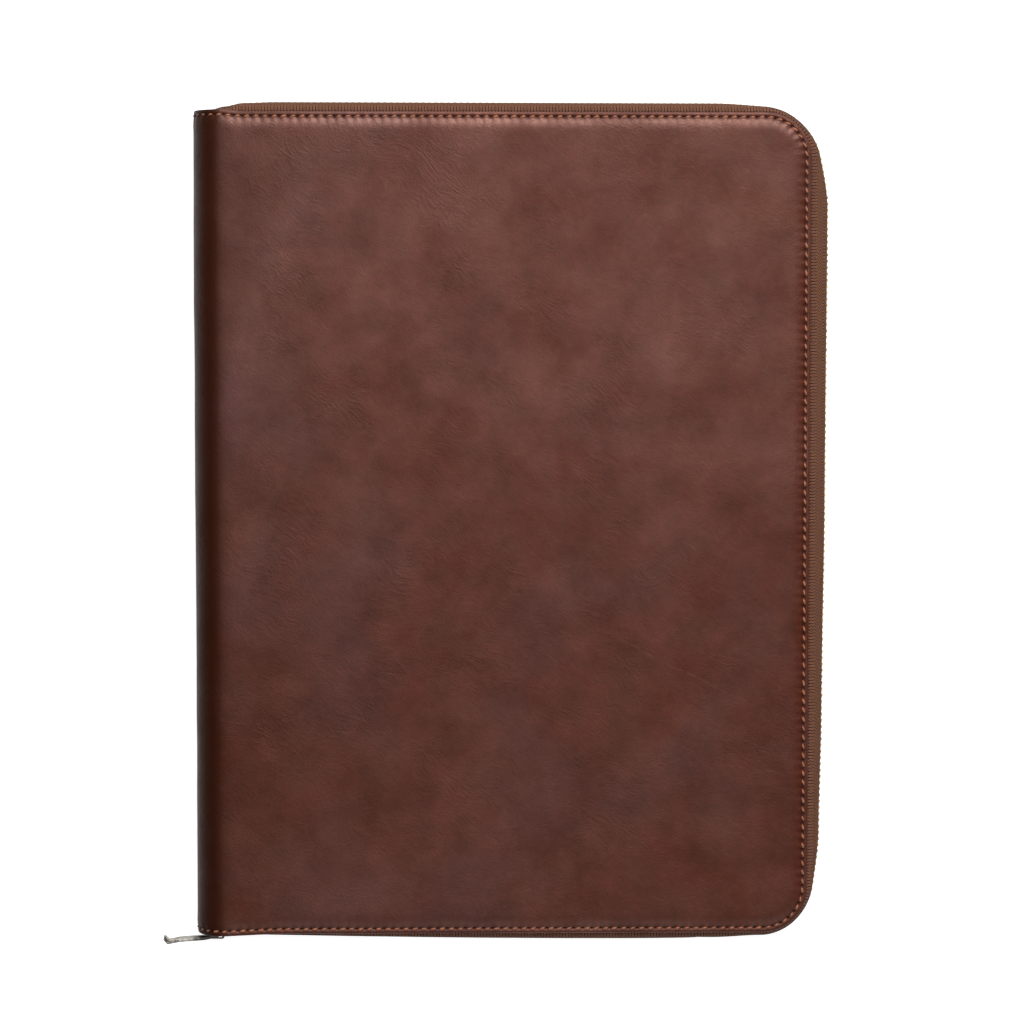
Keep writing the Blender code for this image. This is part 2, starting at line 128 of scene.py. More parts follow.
class G:
    """Short hand for making shader nodes."""

    def __init__(self, nt):
        self.nt = nt

    def link(self, value, socket):
        if isinstance(value, bpy.types.NodeSocket):
            self.nt.links.new(value, socket)
        elif value is not None:
            socket.default_value = value

    def math(self, op, a, b=None, c=None, clamp=False):
        n = self.nt.nodes.new("ShaderNodeMath")
        n.operation = op
        n.use_clamp = clamp
        for i, v in enumerate((a, b, c)):
            self.link(v, n.inputs[i])
        return n.outputs[0]

    def vec(self, op, a, b=None, scale=None):
        n = self.nt.nodes.new("ShaderNodeVectorMath")
        n.operation = op
        self.link(a, n.inputs[0])
        if b is not None:
            self.link(b, n.inputs[1])
        if scale is not None:
            self.link(scale, n.inputs["Scale"])
        return n.outputs["Value"] if op in ("DOT_PRODUCT", "LENGTH") else n.outputs[0]

    def noise(self, v, scale, detail=2.0, rough=0.5, distort=0.0, out="Fac"):
        n = self.nt.nodes.new("ShaderNodeTexNoise")
        self.link(v, n.inputs["Vector"])
        n.inputs["Scale"].default_value = scale
        n.inputs["Detail"].default_value = detail
        n.inputs["Roughness"].default_value = rough
        n.inputs["Distortion"].default_value = distort
        return n.outputs[out]

    def voronoi(self, v, scale, feature="F1", smoothness=None, rand=1.0):
        n = self.nt.nodes.new("ShaderNodeTexVoronoi")
        n.feature = feature
        self.link(v, n.inputs["Vector"])
        n.inputs["Scale"].default_value = scale
        n.inputs["Randomness"].default_value = rand
        return n.outputs["Distance"]

    def wave(self, v, scale, distort=0.0, detail=0.0, direction="X", profile="SIN"):
        n = self.nt.nodes.new("ShaderNodeTexWave")
        n.bands_direction = direction
        n.wave_profile = profile
        self.link(v, n.inputs["Vector"])
        n.inputs["Scale"].default_value = scale
        n.inputs["Distortion"].default_value = distort
        n.inputs["Detail"].default_value = detail
        return n.outputs["Fac"]

    def ramp(self, fac, stops):
        n = self.nt.nodes.new("ShaderNodeValToRGB")
        self.link(fac, n.inputs[0])
        e = n.color_ramp.elements
        while len(e) < len(stops):
            e.new(0.5)
        for el, (p, c) in zip(e, stops):
            el.position = p
            el.color = (*c, 1.0) if len(c) == 3 else c
        return n.outputs[0]

    def map(self, v, a, b, c=0.0, d=1.0):
        n = self.nt.nodes.new("ShaderNodeMapRange")
        n.clamp = True
        self.link(v, n.inputs[0])
        for i, x in enumerate((a, b, c, d)):
            n.inputs[i + 1].default_value = x
        return n.outputs[0]

    def mix(self, fac, a, b, mode="MIX"):
        n = self.nt.nodes.new("ShaderNodeMix")
        n.data_type = "RGBA"
        n.blend_type = mode
        self.link(fac, n.inputs[0])
        self.link(a if isinstance(a, bpy.types.NodeSocket) else (*a, 1.0), n.inputs[6])
        self.link(b if isinstance(b, bpy.types.NodeSocket) else (*b, 1.0), n.inputs[7])
        return n.outputs[2]

    def bump(self, height, distance, strength=1.0, normal=None):
        n = self.nt.nodes.new("ShaderNodeBump")
        n.inputs["Strength"].default_value = strength
        n.inputs["Distance"].default_value = distance
        self.link(height, n.inputs["Height"])
        if normal is not None:
            self.link(normal, n.inputs["Normal"])
        return n.outputs[0]

    def attr(self, name):
        n = self.nt.nodes.new("ShaderNodeAttribute")
        n.attribute_name = name
        return n.outputs["Fac"]

    def uv(self):
        """The UV map in mm."""
        n = self.nt.nodes.new("ShaderNodeUVMap")
        n.uv_map = "flat"
        return self.vec("SCALE", n.outputs[0], scale=1000.0)

    def obj(self):
        n = self.nt.nodes.new("ShaderNodeTexCoord")
        return self.vec("SCALE", n.outputs["Object"], scale=1000.0)

    def xyz(self, v):
        n = self.nt.nodes.new("ShaderNodeSeparateXYZ")
        self.link(v, n.inputs[0])
        return n.outputs

    def combine(self, x, y, z=0.0):
        n = self.nt.nodes.new("ShaderNodeCombineXYZ")
        for i, v in enumerate((x, y, z)):
            self.link(v, n.inputs[i])
        return n.outputs[0]

    def rotated(self, v, degrees, stretch=(1, 1, 1)):
        """Turned, then stretched: what is made from it runs along the turned X if stretch[0] is small."""
        n = self.nt.nodes.new("ShaderNodeMapping")
        self.link(v, n.inputs["Vector"])
        n.inputs["Rotation"].default_value = (0, 0, math.radians(degrees))
        return self.vec("MULTIPLY", n.outputs[0], stretch)


def scar(g, p, a, b, width):
    """1 on a thin line between two points of the sheet, 0 away from it."""
    ax, ay = a
    bx, by = b
    dx, dy = bx - ax, by - ay
    n2 = dx * dx + dy * dy
    rel = g.vec("SUBTRACT", p, (ax, ay, 0))
    t = g.math("DIVIDE", g.vec("DOT_PRODUCT", rel, (dx, dy, 0)), n2, clamp=True)
    near = g.combine(g.math("MULTIPLY", t, dx), g.math("MULTIPLY", t, dy))
    dist = g.vec("LENGTH", g.vec("SUBTRACT", rel, near))
    line = g.map(dist, 0.0, width, 1.0, 0.0)
    fade = g.math("MULTIPLY", g.map(t, 0.0, 0.25), g.map(t, 1.0, 0.7))
    return g.math("MULTIPLY", line, fade)


def leather_material(name, cover=True, tint=1.0):
    mat, nt, bsdf = tree(name)
    g = G(nt)
    p = g.uv() if cover else g.obj()
    warp = g.vec("ADD", p, g.vec("SCALE", g.noise(p, 0.03, 2, out="Color"), scale=14.0))
    big = g.noise(warp, 0.017, 3, 0.55)
    mid = g.noise(p, 0.055, 5, 0.62)
    curl = g.vec("ADD", p, g.vec("SCALE", g.noise(p, 0.045, 2, out="Color"), scale=16.0))
    fine = g.noise(g.rotated(curl, 33, (0.30, 1.0, 1.0)), 0.75, 4, 0.62)
    base = g.ramp(
        big,
        [
            (0.34, (0.0470 * tint, 0.0098 * tint, 0.0040 * tint)),
            (0.50, (0.0490 * tint, 0.0116 * tint, 0.0064 * tint)),
            (0.66, (0.0465 * tint, 0.0134 * tint, 0.0108 * tint)),
        ],
    )
    patch = g.ramp(
        mid, [(0.32, (0.78, 0.78, 0.78)), (0.50, (1.0, 1.0, 1.0)), (0.70, (1.26, 1.22, 1.30))]
    )
    colour = g.mix(1.0, base, patch, "MULTIPLY")
    grain_tone = g.map(fine, 0.30, 0.70, 0.84, 1.16)
    colour = g.mix(1.0, colour, g.combine(grain_tone, grain_tone, grain_tone), "MULTIPLY")
    if cover:
        # painted sheen and shade beside the spine: greyer above, browner below
        part = g.xyz(g.vec("ADD", p, g.vec("SCALE", g.noise(p, 0.02, 2, out="Color"), scale=24.0)))
        beside = g.map(g.math("ABSOLUTE", part[0]), HS + 30.0, HS + 75.0, 1.0, 0.0)
        upper = g.map(part[1], -70.0, 60.0)
        painted_sheen_and_shade = g.mix(upper, (0.86, 0.76, 0.62), (0.82, 0.93, 1.22))
        colour = g.mix(beside, colour, g.mix(1.0, colour, painted_sheen_and_shade, "MULTIPLY"))
    # grain: small pebbles, slanting wrinkles that come in clumps, pores
    cell = g.voronoi(g.vec("ADD", p, g.vec("SCALE", g.noise(p, 0.9, 2, out="Color"), scale=0.8)), 1.15)
    clump = g.map(g.noise(p, 0.030, 3, 0.6), 0.47, 0.68, 0.06, 0.85)
    if cover:
        spot = None
        for at, r in WORN:
            one = g.map(g.vec("LENGTH", g.vec("SUBTRACT", warp, (*at, 0.0))), r * 0.2, r, 0.85, 0.0)
            spot = one if spot is None else g.math("MAXIMUM", spot, one)
        low = g.map(g.xyz(p)[1], -168.0, -105.0, 0.12, 1.0)
        clump = g.math("MAXIMUM", g.math("MULTIPLY", clump, low), spot)
    wrinkle = g.math("ABSOLUTE", g.math("SUBTRACT", g.noise(g.rotated(curl, 35, (0.22, 1.0, 1.0)), 0.42, 4, 0.62), 0.5))
    wrinkle = g.math("MULTIPLY", g.map(wrinkle, 0.0, 0.14, -1.0, 0.0), clump)
    cross = g.noise(g.rotated(curl, -50, (0.4, 1.0, 1.0)), 0.5, 3, 0.6)
    pores = g.map(g.voronoi(p, 1.9), 0.0, 0.16, -1.0, 0.0)
    speck = g.noise(p, 1.25, 3, 0.7)
    height = g.math("MULTIPLY", cell, 0.30)
    height = g.math("MULTIPLY_ADD", speck, 0.75, height)
    height = g.math("MULTIPLY_ADD", fine, 0.48, height)
    height = g.math("MULTIPLY_ADD", wrinkle, 0.70, height)
    height = g.math("MULTIPLY_ADD", cross, 0.30, height)
    height = g.math("MULTIPLY_ADD", pores, 0.22, height)
    rough = g.map(mid, 0.25, 0.75, 0.46, 0.36)
    rough = g.math("MULTIPLY_ADD", fine, 0.08, rough)
    shine = g.map(g.noise(warp, 0.04, 4, 0.65), 0.32, 0.70, 0.40, 0.82)
    if cover:
        lines = None
        for a, b, w in SCARS:
            one = scar(g, warp_small(g, p), a, b, w)
            lines = one if lines is None else g.math("MAXIMUM", lines, one)
        broken = g.map(g.noise(p, 0.35, 3), 0.38, 0.62, 0.15, 1.0)
        lines = g.math("MULTIPLY", lines, broken)
        colour = g.mix(g.math("MULTIPLY", lines, 0.35), colour, (0.13, 0.055, 0.040))
        height = g.math("MULTIPLY_ADD", lines, -0.4, height)
        edge = g.attr("edge")
        colour = g.mix(g.math("MULTIPLY", edge, g.map(mid, 0.3, 0.7, 0.2, 0.7)), colour, (0.12, 0.040, 0.024))
        # painted shade on the slope just inside the seam, weaker along the short sides
        painted_shade_band = g.attr("painted_shade_band")
        colour = g.mix(g.math("MULTIPLY", painted_shade_band, 0.55), colour, (0.060, 0.011, 0.0045))
        # painted highlight on the slope near the short sides, which is also glossier there
        gloss_and_painted_highlight = g.math("MULTIPLY", g.attr("gloss_and_painted_highlight"), g.map(g.noise(p, 0.07, 3, 0.6), 0.32, 0.64, 0.35, 1.0))
        colour = g.mix(g.math("MULTIPLY", gloss_and_painted_highlight, 0.34), colour, (0.115, 0.058, 0.047))
        # painted shade round the spine's bend, where the surface turns away from the light
        shade = g.attr("shade")
        colour = g.mix(shade, colour, (0.025, 0.0062, 0.0024))
        # painted shade in the seam's groove, needle holes and notches
        seam = g.attr("seam")
        colour = g.mix(seam, colour, (0.010, 0.0026, 0.0013))
        dull = g.math("SUBTRACT", 1.0, g.math("MAXIMUM", seam, g.math("MULTIPLY", shade, 0.80)))
        lower = g.map(g.xyz(p)[1], -60.0, 70.0, 0.68, 1.0)
        lower = g.math("MAXIMUM", lower, g.map(g.xyz(p)[1], -150.0, -60.0, 0.88, 0.68))
        shine = g.math("MULTIPLY", g.math("MULTIPLY_ADD", gloss_and_painted_highlight, 0.46, g.math("MULTIPLY", shine, lower)), dull)
    nt.links.new(colour, bsdf.inputs["Base Color"])
    nt.links.new(rough, bsdf.inputs["Roughness"])
    nt.links.new(shine, bsdf.inputs["Specular IOR Level"])
    bsdf.inputs["Specular Tint"].default_value = (1.0, 0.55, 0.46, 1.0)
    bsdf.inputs["IOR"].default_value = 1.5
    nt.links.new(g.bump(height, 0.00016, 1.0), bsdf.inputs["Normal"])
    return mat


def warp_small(g, p):
    return g.vec("ADD", p, g.vec("SCALE", g.vec("SUBTRACT", g.noise(p, 0.12, 2, out="Color"), (0.5, 0.5, 0.5)), scale=2.4))


def sheet_point(px, py):
    """A point of the photograph-sized front, in mm from the cover's middle, to the sheet's s and y."""
    return (px - CX + HS, py)


SCARS = [
    (sheet_point(45.5, -46), sheet_point(109.5, -78), 0.55),
    (sheet_point(89, -101.5), sheet_point(124, -106.5), 0.45),
    (sheet_point(18, -19.5), sheet_point(41.5, -14.0), 0.5),
    (sheet_point(76, -6.0), sheet_point(84, -10.5), 0.7),
    (sheet_point(-70, 62), sheet_point(-52, 55), 0.35),
    ((-170.0, 40.0), (-120.0, 78.0), 0.5),
    ((-90.0, -60.0), (-60.0, -112.0), 0.5),
]


# places where the leather has creased finely
WORN = [((57.0, 160.0), 22.0), ((66.0, 96.0), 16.0), ((190.0, 62.0), 24.0), ((-150.0, 90.0), 26.0)]


def thread_material():
    """Sewing thread. UV: x mm along, y mm round, plus 100 where it is darkened with painted shade on the spine."""
    mat, nt, bsdf = tree("thread_orange_tan")
    g = G(nt)
    p = g.uv()
    twist = g.wave(g.rotated(p, 35), 0.75, 0.4, 1.0)
    tone = g.noise(p, 0.25, 2)
    colour = g.mix(twist, (0.22, 0.056, 0.016), (0.50, 0.165, 0.054))
    colour = g.mix(g.map(tone, 0.35, 0.7, 0.0, 0.5), colour, (0.17, 0.042, 0.014))
    # painted shade on the stitches over the spine's middle
    colour = g.mix(g.map(g.xyz(p)[1], 3.0, 100.0, 0.0, 0.80), colour, (0.060, 0.019, 0.009))
    nt.links.new(colour, bsdf.inputs["Base Color"])
    nt.links.new(g.bump(twist, 0.00008), bsdf.inputs["Normal"])
    bsdf.inputs["Roughness"].default_value = 0.62
    bsdf.inputs["Sheen Weight"].default_value = 0.25
    return mat


def tape_material():
    """Woven tape. UV: x mm across from the leather's edge, y mm along."""
    mat, nt, bsdf = tree("zip_tape_weave")
    g = G(nt)
    uv = g.uv()
    x, y, _ = g.xyz(uv)
    # two herringbone zones that lean against each other, and fine ribs near the teeth
    wob = g.vec("ADD", uv, g.vec("SCALE", g.noise(uv, 0.5, 2, out="Color"), scale=0.5))
    x, y, _ = g.xyz(wob)
    slant = g.math("MULTIPLY_ADD", x, 1.45, y)
    rib = g.math("SINE", g.math("MULTIPLY", slant, 2 * math.pi / 1.35))
    back = g.math("SINE", g.math("MULTIPLY", g.math("MULTIPLY_ADD", x, -0.9, y), 2 * math.pi / 1.35))
    weft = g.math("SINE", g.math("MULTIPLY", x, 2 * math.pi / 0.72))
    warp = g.math("SINE", g.math("MULTIPLY", y, 2 * math.pi / 0.675))
    cross = g.math("MULTIPLY", weft, warp)
    outer = g.map(x, 3.9, 4.3)
    inner = g.map(x, 2.2, 2.7, 1.0, 0.0)
    plain = g.math("MULTIPLY_ADD", back, 0.45, g.math("MULTIPLY", cross, 0.55))
    ribs = g.math("MULTIPLY_ADD", cross, 0.20, g.math("MULTIPLY", rib, 0.80))
    height = g.math("ADD", g.math("MULTIPLY", ribs, outer), g.math("MULTIPLY", plain, g.math("SUBTRACT", 1.0, outer)))
    # one raised warp yarn runs along the middle of the outer zone
    yarn = g.map(g.math("ABSOLUTE", g.math("SUBTRACT", x, 6.3)), 0.12, 0.42, 1.0, 0.0)
    beads = g.math("SINE", g.math("MULTIPLY", y, 2 * math.pi / 1.35))
    height = g.mix(yarn, g.combine(height, height, height), g.combine(beads, beads, beads))
    height = g.math("MULTIPLY_ADD", inner, -0.35, g.xyz(height)[0])
    tone = g.noise(uv, 0.5, 3)
    colour = g.ramp(
        g.math("MULTIPLY_ADD", height, 0.5, 0.5),
        [(0.0, (0.028, 0.0100, 0.0050)), (0.45, (0.115, 0.046, 0.024)), (1.0, (0.265, 0.122, 0.072))],
    )
    # painted shade where the tape runs in under the leather's edge
    painted_shade_under_leather = g.combine(g.math("MULTIPLY_ADD", inner, -0.62, 1.0), g.math("MULTIPLY_ADD", inner, -0.66, 1.0), g.math("MULTIPLY_ADD", inner, -0.68, 1.0))
    colour = g.mix(1.0, colour, painted_shade_under_leather, "MULTIPLY")
    colour = g.mix(g.map(tone, 0.3, 0.75, 0.0, 0.30), colour, (0.15, 0.055, 0.030))
    nt.links.new(colour, bsdf.inputs["Base Color"])
    nt.links.new(g.bump(height, 0.00022), bsdf.inputs["Normal"])
    bsdf.inputs["Roughness"].default_value = 0.8
    bsdf.inputs["Specular IOR Level"].default_value = 0.18
    return mat


def cord_material():
    mat, nt, bsdf = tree("zip_cord")
    g = G(nt)
    p = g.uv()
    twist = g.wave(g.rotated(p, 30), 1.3, 0.3)
    tone = g.noise(p, 0.3, 2)
    colour = g.mix(twist, (0.190, 0.078, 0.045), (0.360, 0.170, 0.108))
    colour = g.mix(g.map(tone, 0.3, 0.7, 0.0, 0.30), colour, (0.18, 0.070, 0.040))
    nt.links.new(colour, bsdf.inputs["Base Color"])
    nt.links.new(g.bump(twist, 0.00006), bsdf.inputs["Normal"])
    bsdf.inputs["Roughness"].default_value = 0.7
    bsdf.inputs["Specular IOR Level"].default_value = 0.2
    return mat


def metal_material(name, bright, dark, rough, wear_scale=0.35, bumpy=0.00006, tarnish=None):
    mat, nt, bsdf = tree(name)
    g = G(nt)
    p = g.obj()
    patina = g.noise(p, wear_scale, 4, 0.6)
    pits = g.noise(p, 2.2, 3, 0.6)
    colour = g.ramp(patina, [(0.34, dark), (0.56, bright), (0.75, tuple(min(1, c * 1.12) for c in bright))])
    if tarnish:
        # no fingers polish it at the eye
        x = g.xyz(g.vec("ADD", p, g.vec("SCALE", g.noise(p, 0.6, 2, out="Color"), scale=1.2)))[0]
        colour = g.mix(g.map(x, tarnish[0], tarnish[1], 0.0, 0.88), colour, tuple(c * 0.25 for c in dark))
    nt.links.new(colour, bsdf.inputs["Base Color"])
    nt.links.new(g.map(patina, 0.3, 0.75, rough + 0.14, rough), bsdf.inputs["Roughness"])
    nt.links.new(g.bump(pits, bumpy), bsdf.inputs["Normal"])
    bsdf.inputs["Metallic"].default_value = 1.0
    return mat


def fabric_material(name, a, b, scale=1.0):
    """Fine twill."""
    mat, nt, bsdf = tree(name)
    g = G(nt)
    p = g.obj()
    x, y, z = g.xyz(p)
    twill = g.math("SINE", g.math("MULTIPLY", g.math("ADD", x, y), 2 * math.pi / (1.1 * scale)))
    weft = g.math("SINE", g.math("MULTIPLY", g.math("SUBTRACT", x, y), 2 * math.pi / (0.7 * scale)))
    height = g.math("MULTIPLY_ADD", weft, 0.35, g.math("MULTIPLY", twill, 0.65))
    tone = g.noise(p, 0.05, 3)
    colour = g.mix(g.math("MULTIPLY_ADD", height, 0.4, 0.5), a, b)
    colour = g.mix(g.map(tone, 0.3, 0.7, 0.0, 0.3), colour, a)
    nt.links.new(colour, bsdf.inputs["Base Color"])
    nt.links.new(g.bump(height, 0.0001), bsdf.inputs["Normal"])
    bsdf.inputs["Roughness"].default_value = 0.9
    bsdf.inputs["Specular IOR Level"].default_value = 0.2
    bsdf.inputs["Sheen Weight"].default_value = 0.12
    return mat


def board_material(name, a, b):
    mat, nt, bsdf = tree(name)
    g = G(nt)
    p = g.obj()
    n = g.noise(p, 0.8, 5, 0.7)
    nt.links.new(g.mix(n, a, b), bsdf.inputs["Base Color"])
    nt.links.new(g.bump(n, 0.0002), bsdf.inputs["Normal"])
    bsdf.inputs["Roughness"].default_value = 0.92
    return mat


M_COVER = leather_material("cover_leather_brown", True)
M_POCKET = leather_material("pocket_leather_brown", False, 0.92)
M_THREAD = thread_material()
M_TAPE = tape_material()
M_CORD = cord_material()
M_BRASS = metal_material("zip_brass", (0.78, 0.52, 0.20), (0.36, 0.21, 0.07), 0.26)
M_PULL = metal_material("antique_nickel", (0.42, 0.40, 0.36), (0.12, 0.105, 0.085), 0.36, 0.5, 0.00012, (-134.5, -129.0))
M_SLIDER = metal_material("dark_nickel", (0.15, 0.15, 0.155), (0.05, 0.05, 0.052), 0.36)
M_LINING = fabric_material("lining_twill", (0.105, 0.050, 0.027), (0.19, 0.10, 0.058))
M_FOAM = board_material("foam_grey", (0.26, 0.26, 0.26), (0.40, 0.40, 0.39))
M_BOARD = board_material("board_grey", (0.30, 0.25, 0.19), (0.45, 0.38, 0.30))


# ---------------------------------------------------------------- mesh helpers
def make(name, verts, faces, mat, uv=None, attrs=None, normals=None, shade=True):
    """verts in mm. uv is per vertex, in mm."""
    mesh = bpy.data.meshes.new(name)
    mesh.from_pydata((np.asarray(verts, float) * MM).tolist(), [], faces)
    loops = np.empty(len(mesh.loops), np.int32)
    mesh.loops.foreach_get("vertex_index", loops)
    if uv is not None:
        layer = mesh.uv_layers.new(name="flat")
        layer.data.foreach_set("uv", (np.asarray(uv, float)[loops] * MM).ravel())
    for key, values in (attrs or {}).items():
        a = mesh.attributes.new(key, "FLOAT", "POINT")
        a.data.foreach_set("value", np.asarray(values, np.float32))
    mesh.polygons.foreach_set("use_smooth", [shade] * len(mesh.polygons))
    if normals is not None:
        mesh.normals_split_custom_set_from_vertices(np.asarray(normals, float).tolist())
    mesh.update()
    obj = bpy.data.objects.new(name, mesh)
    bpy.context.scene.collection.objects.link(obj)
    mesh.materials.append(mat)
    return obj


def vertex_normals(verts, faces):
    mesh = bpy.data.meshes.new("tmp")
    mesh.from_pydata(np.asarray(verts, float).tolist(), [], faces)
    mesh.update()
    out = np.empty(len(verts) * 3)
    mesh.vertices.foreach_get("normal", out)
    bpy.data.meshes.remove(mesh)
    return out.reshape(-1, 3)


def split(verts, faces, s_of):
    """The faces of each strip of the wrapped sheet, with their own vertices: [(index, faces)]."""
    centre = np.array([np.mean(s_of[list(f)]) for f in faces])
    out = []
    for lo, hi in zip(CUTS, CUTS[1:]):
        pick = [f for f, c in zip(faces, centre) if lo <= c < hi]
        index = sorted({v for f in pick for v in f})
        new = {v: i for i, v in enumerate(index)}
        out.append((np.array(index), cut_ends([tuple(new[v] for v in f) for f in pick])))
    return out


def cut_ends(faces):
    """Adds the faces that close a strip where it was cut."""
    ways = {}
    for f in faces:
        for a, b in zip(f, f[1:] + f[:1]):
            ways[(a, b)] = True
    follow = {b: a for a, b in ways if (b, a) not in ways}
    while follow:
        first = next(iter(follow))
        loop = [first]
        at = follow.pop(first)
        while at != first and at in follow:
            loop.append(at)
            at = follow.pop(at)
        if len(loop) > 2:
            faces = faces + [tuple(loop)]
    return faces


def strip_blend(obj):
    """Bakes the strip's transform into its mesh."""

    def at(a):
        return (
            (CX - SR * math.sin(a)) * MM,
            0.0,
            (MID - SR * math.cos(a)) * MM,
        )

    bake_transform(obj)


# ---------------------------------------------------------------- the sheet's outline
def outline(flat_n, spine_n, arc_n, side_n, a=A, b=B, r=R_CORNER):
    """Points and outward normals round the sheet, with the length along the seam."""
    pts, nrm = [], []

    def line(p, q, n, k):
        for i in range(k):
            t = i / k
            pts.append((p[0] + (q[0] - p[0]) * t, p[1] + (q[1] - p[1]) * t))
            nrm.append(n)

    def arc(c, a0, k):
        for i in range(k):
            t = math.radians(a0 + 90 * i / k)
            pts.append((c[0] + r * math.cos(t), c[1] + r * math.sin(t)))
            nrm.append((math.cos(t), math.sin(t)))

    x, y = a - r, b - r
    line((-x, -b), (-HS, -b), (0, -1), flat_n)
    line((-HS, -b), (HS, -b), (0, -1), spine_n)
    line((HS, -b), (x, -b), (0, -1), flat_n)
    arc((x, -y), -90, arc_n)
    line((a, -y), (a, y), (1, 0), side_n)
    arc((x, y), 0, arc_n)
    line((x, b), (HS, b), (0, 1), flat_n)
    line((HS, b), (-HS, b), (0, 1), spine_n)
    line((-HS, b), (-x, b), (0, 1), flat_n)
    arc((-x, y), 90, arc_n)
    line((-a, y), (-a, -y), (-1, 0), side_n)
    arc((-x, -y), 180, arc_n)
    p, n = np.array(pts), np.array(nrm)
    q = p - n * SEAM
    step = np.linalg.norm(np.roll(q, -1, 0) - q, axis=1)
    length = np.concatenate([[0], np.cumsum(step)[:-1]])
    return p, n, length, step.sum()


def inside_grid(inset, cols, rows, a=A, b=B, r=R_CORNER):
    out = []
    x1, y1, r1 = a - inset, b - inset, max(r - inset, 0.1)
    for s in cols:
        for y in rows:
            dx, dy = abs(s) - (x1 - r1), abs(y) - (y1 - r1)
            if abs(s) > x1 or abs(y) > y1:
                continue
            if dx > 0 and dy > 0 and math.hypot(dx, dy) > r1:
                continue
            out.append((s, y))
    return out


def fill(ring, inner):
    """Triangles that fill a ring of points, using the inner points. Returns faces over ring + inner."""
    pts = [Vector(p) for p in ring] + [Vector(p) for p in inner]
    n = len(ring)
    edges = [(i, (i + 1) % n) for i in range(n)]
    v, _, f, ov, _, _ = delaunay_2d_cdt(pts, edges, [], 1, 1e-5)
    back = [o[0] if o else -1 for o in ov]
    return [tuple(back[i] for i in t) for t in f if all(back[i] >= 0 for i in t)]


def seam_dist(phase):
    """Distance from the nearest needle hole, in mm along the seam."""
    return np.minimum(phase, 1 - phase) * PITCH


def columns(step_flat, step_spine, end):
    n1 = max(1, round(HS / step_spine / 2)) * 2
    spine = [HS * i / n1 for i in range(n1 + 1)]
    n2 = max(2, round((end - HS) / step_flat))
    flat = [HS + (end - HS) * i / n2 for i in range(1, n2 + 1)]
    half = spine + flat
    return sorted({round(v, 6) for x in half for v in (x, -x)})


# ---------------------------------------------------------------- the cover leather
def short_side(y):
    """1 along the sheet's two short sides, 0 along its long ones, with the corners between."""
    return smooth((np.abs(y) - B + R_CORNER) / (R_CORNER - 5.0))


def leather_height(s, y, d, length, total):
    """How far the leather's outer face stands from the CAD's, with the attributes that colour it."""
    count = round(total / PITCH)
    phase = (length / total * count) % 1.0
    spine = smooth(1.0 - (np.abs(s) - HS + 2.0) / 9.0)  # 1 on the spine, 0 on the covers
    short = short_side(y)
    pinch = 1.22 - 0.98 * spine - 0.24 * short * (1 - spine)
    q = np.clip((d - 2.5) / (5.6 - 1.0 * spine), 0, 1)
    h = -pinch * (1 - q) ** 2.0
    h += 0.12 * spine * np.exp(-(((d - 5.0) / 2.6) ** 2)) * smooth(d / 2.2)
    # the margin outside the seam rolls down to the edge
    h += -(0.16 - 0.10 * spine) * smooth(1 - d / 1.1) + 0.08 * np.exp(-(((d - 1.15) / 0.5) ** 2))
    groove = np.exp(-(((d - SEAM) / 0.42) ** 2))
    hole = np.exp(-((seam_dist(phase) / 0.52) ** 2))
    h -= groove * (0.18 + 0.45 * hole)
    # small puckers run inwards from the holes
    pucker = np.cos(2 * math.pi * phase) * np.exp(-np.abs(d - SEAM - 0.9) / 1.35) * (d > 1.0)
    h -= 0.23 * pucker * (1 - 0.5 * spine)
    notch = np.exp(-(((d - SEAM - 0.45) / 0.60) ** 2)) * np.exp(-((seam_dist(phase) / 0.50) ** 2))
    h -= 0.14 * notch
    # painted shade: the groove, needle holes and notches darkened in colour, more along the short sides
    seam = np.clip((groove * (0.10 + 0.74 * hole) + 0.62 * notch) * (0.50 + 0.50 * short), 0, 1)
    edge = smooth(1 - d / 0.55)
    # painted shade: a darker band on the slope just inside the seam
    painted_shade_band = np.exp(-(((d - 4.2) / 1.7) ** 2)) * (1 - 0.3 * hole)
    return h, seam, edge, painted_shade_band, spine


def seam_height(s, y):
    """The leather's height beside the seam, where the thread lies."""
    far = np.array(PITCH / 2)
    y = np.array(float(y))
    bed = float(leather_height(np.array(float(s)), y, np.array(SEAM), far, 1000 * PITCH)[0])
    return bed + 0.22 - 0.12 * float(short_side(y))


def spine_shade(s):
    """Painted shade, a darker leather colour round the spine's bend: 1 on its middle, 0 on the covers."""
    return smooth((HS + 5.2 - np.abs(s)) / 11.5)


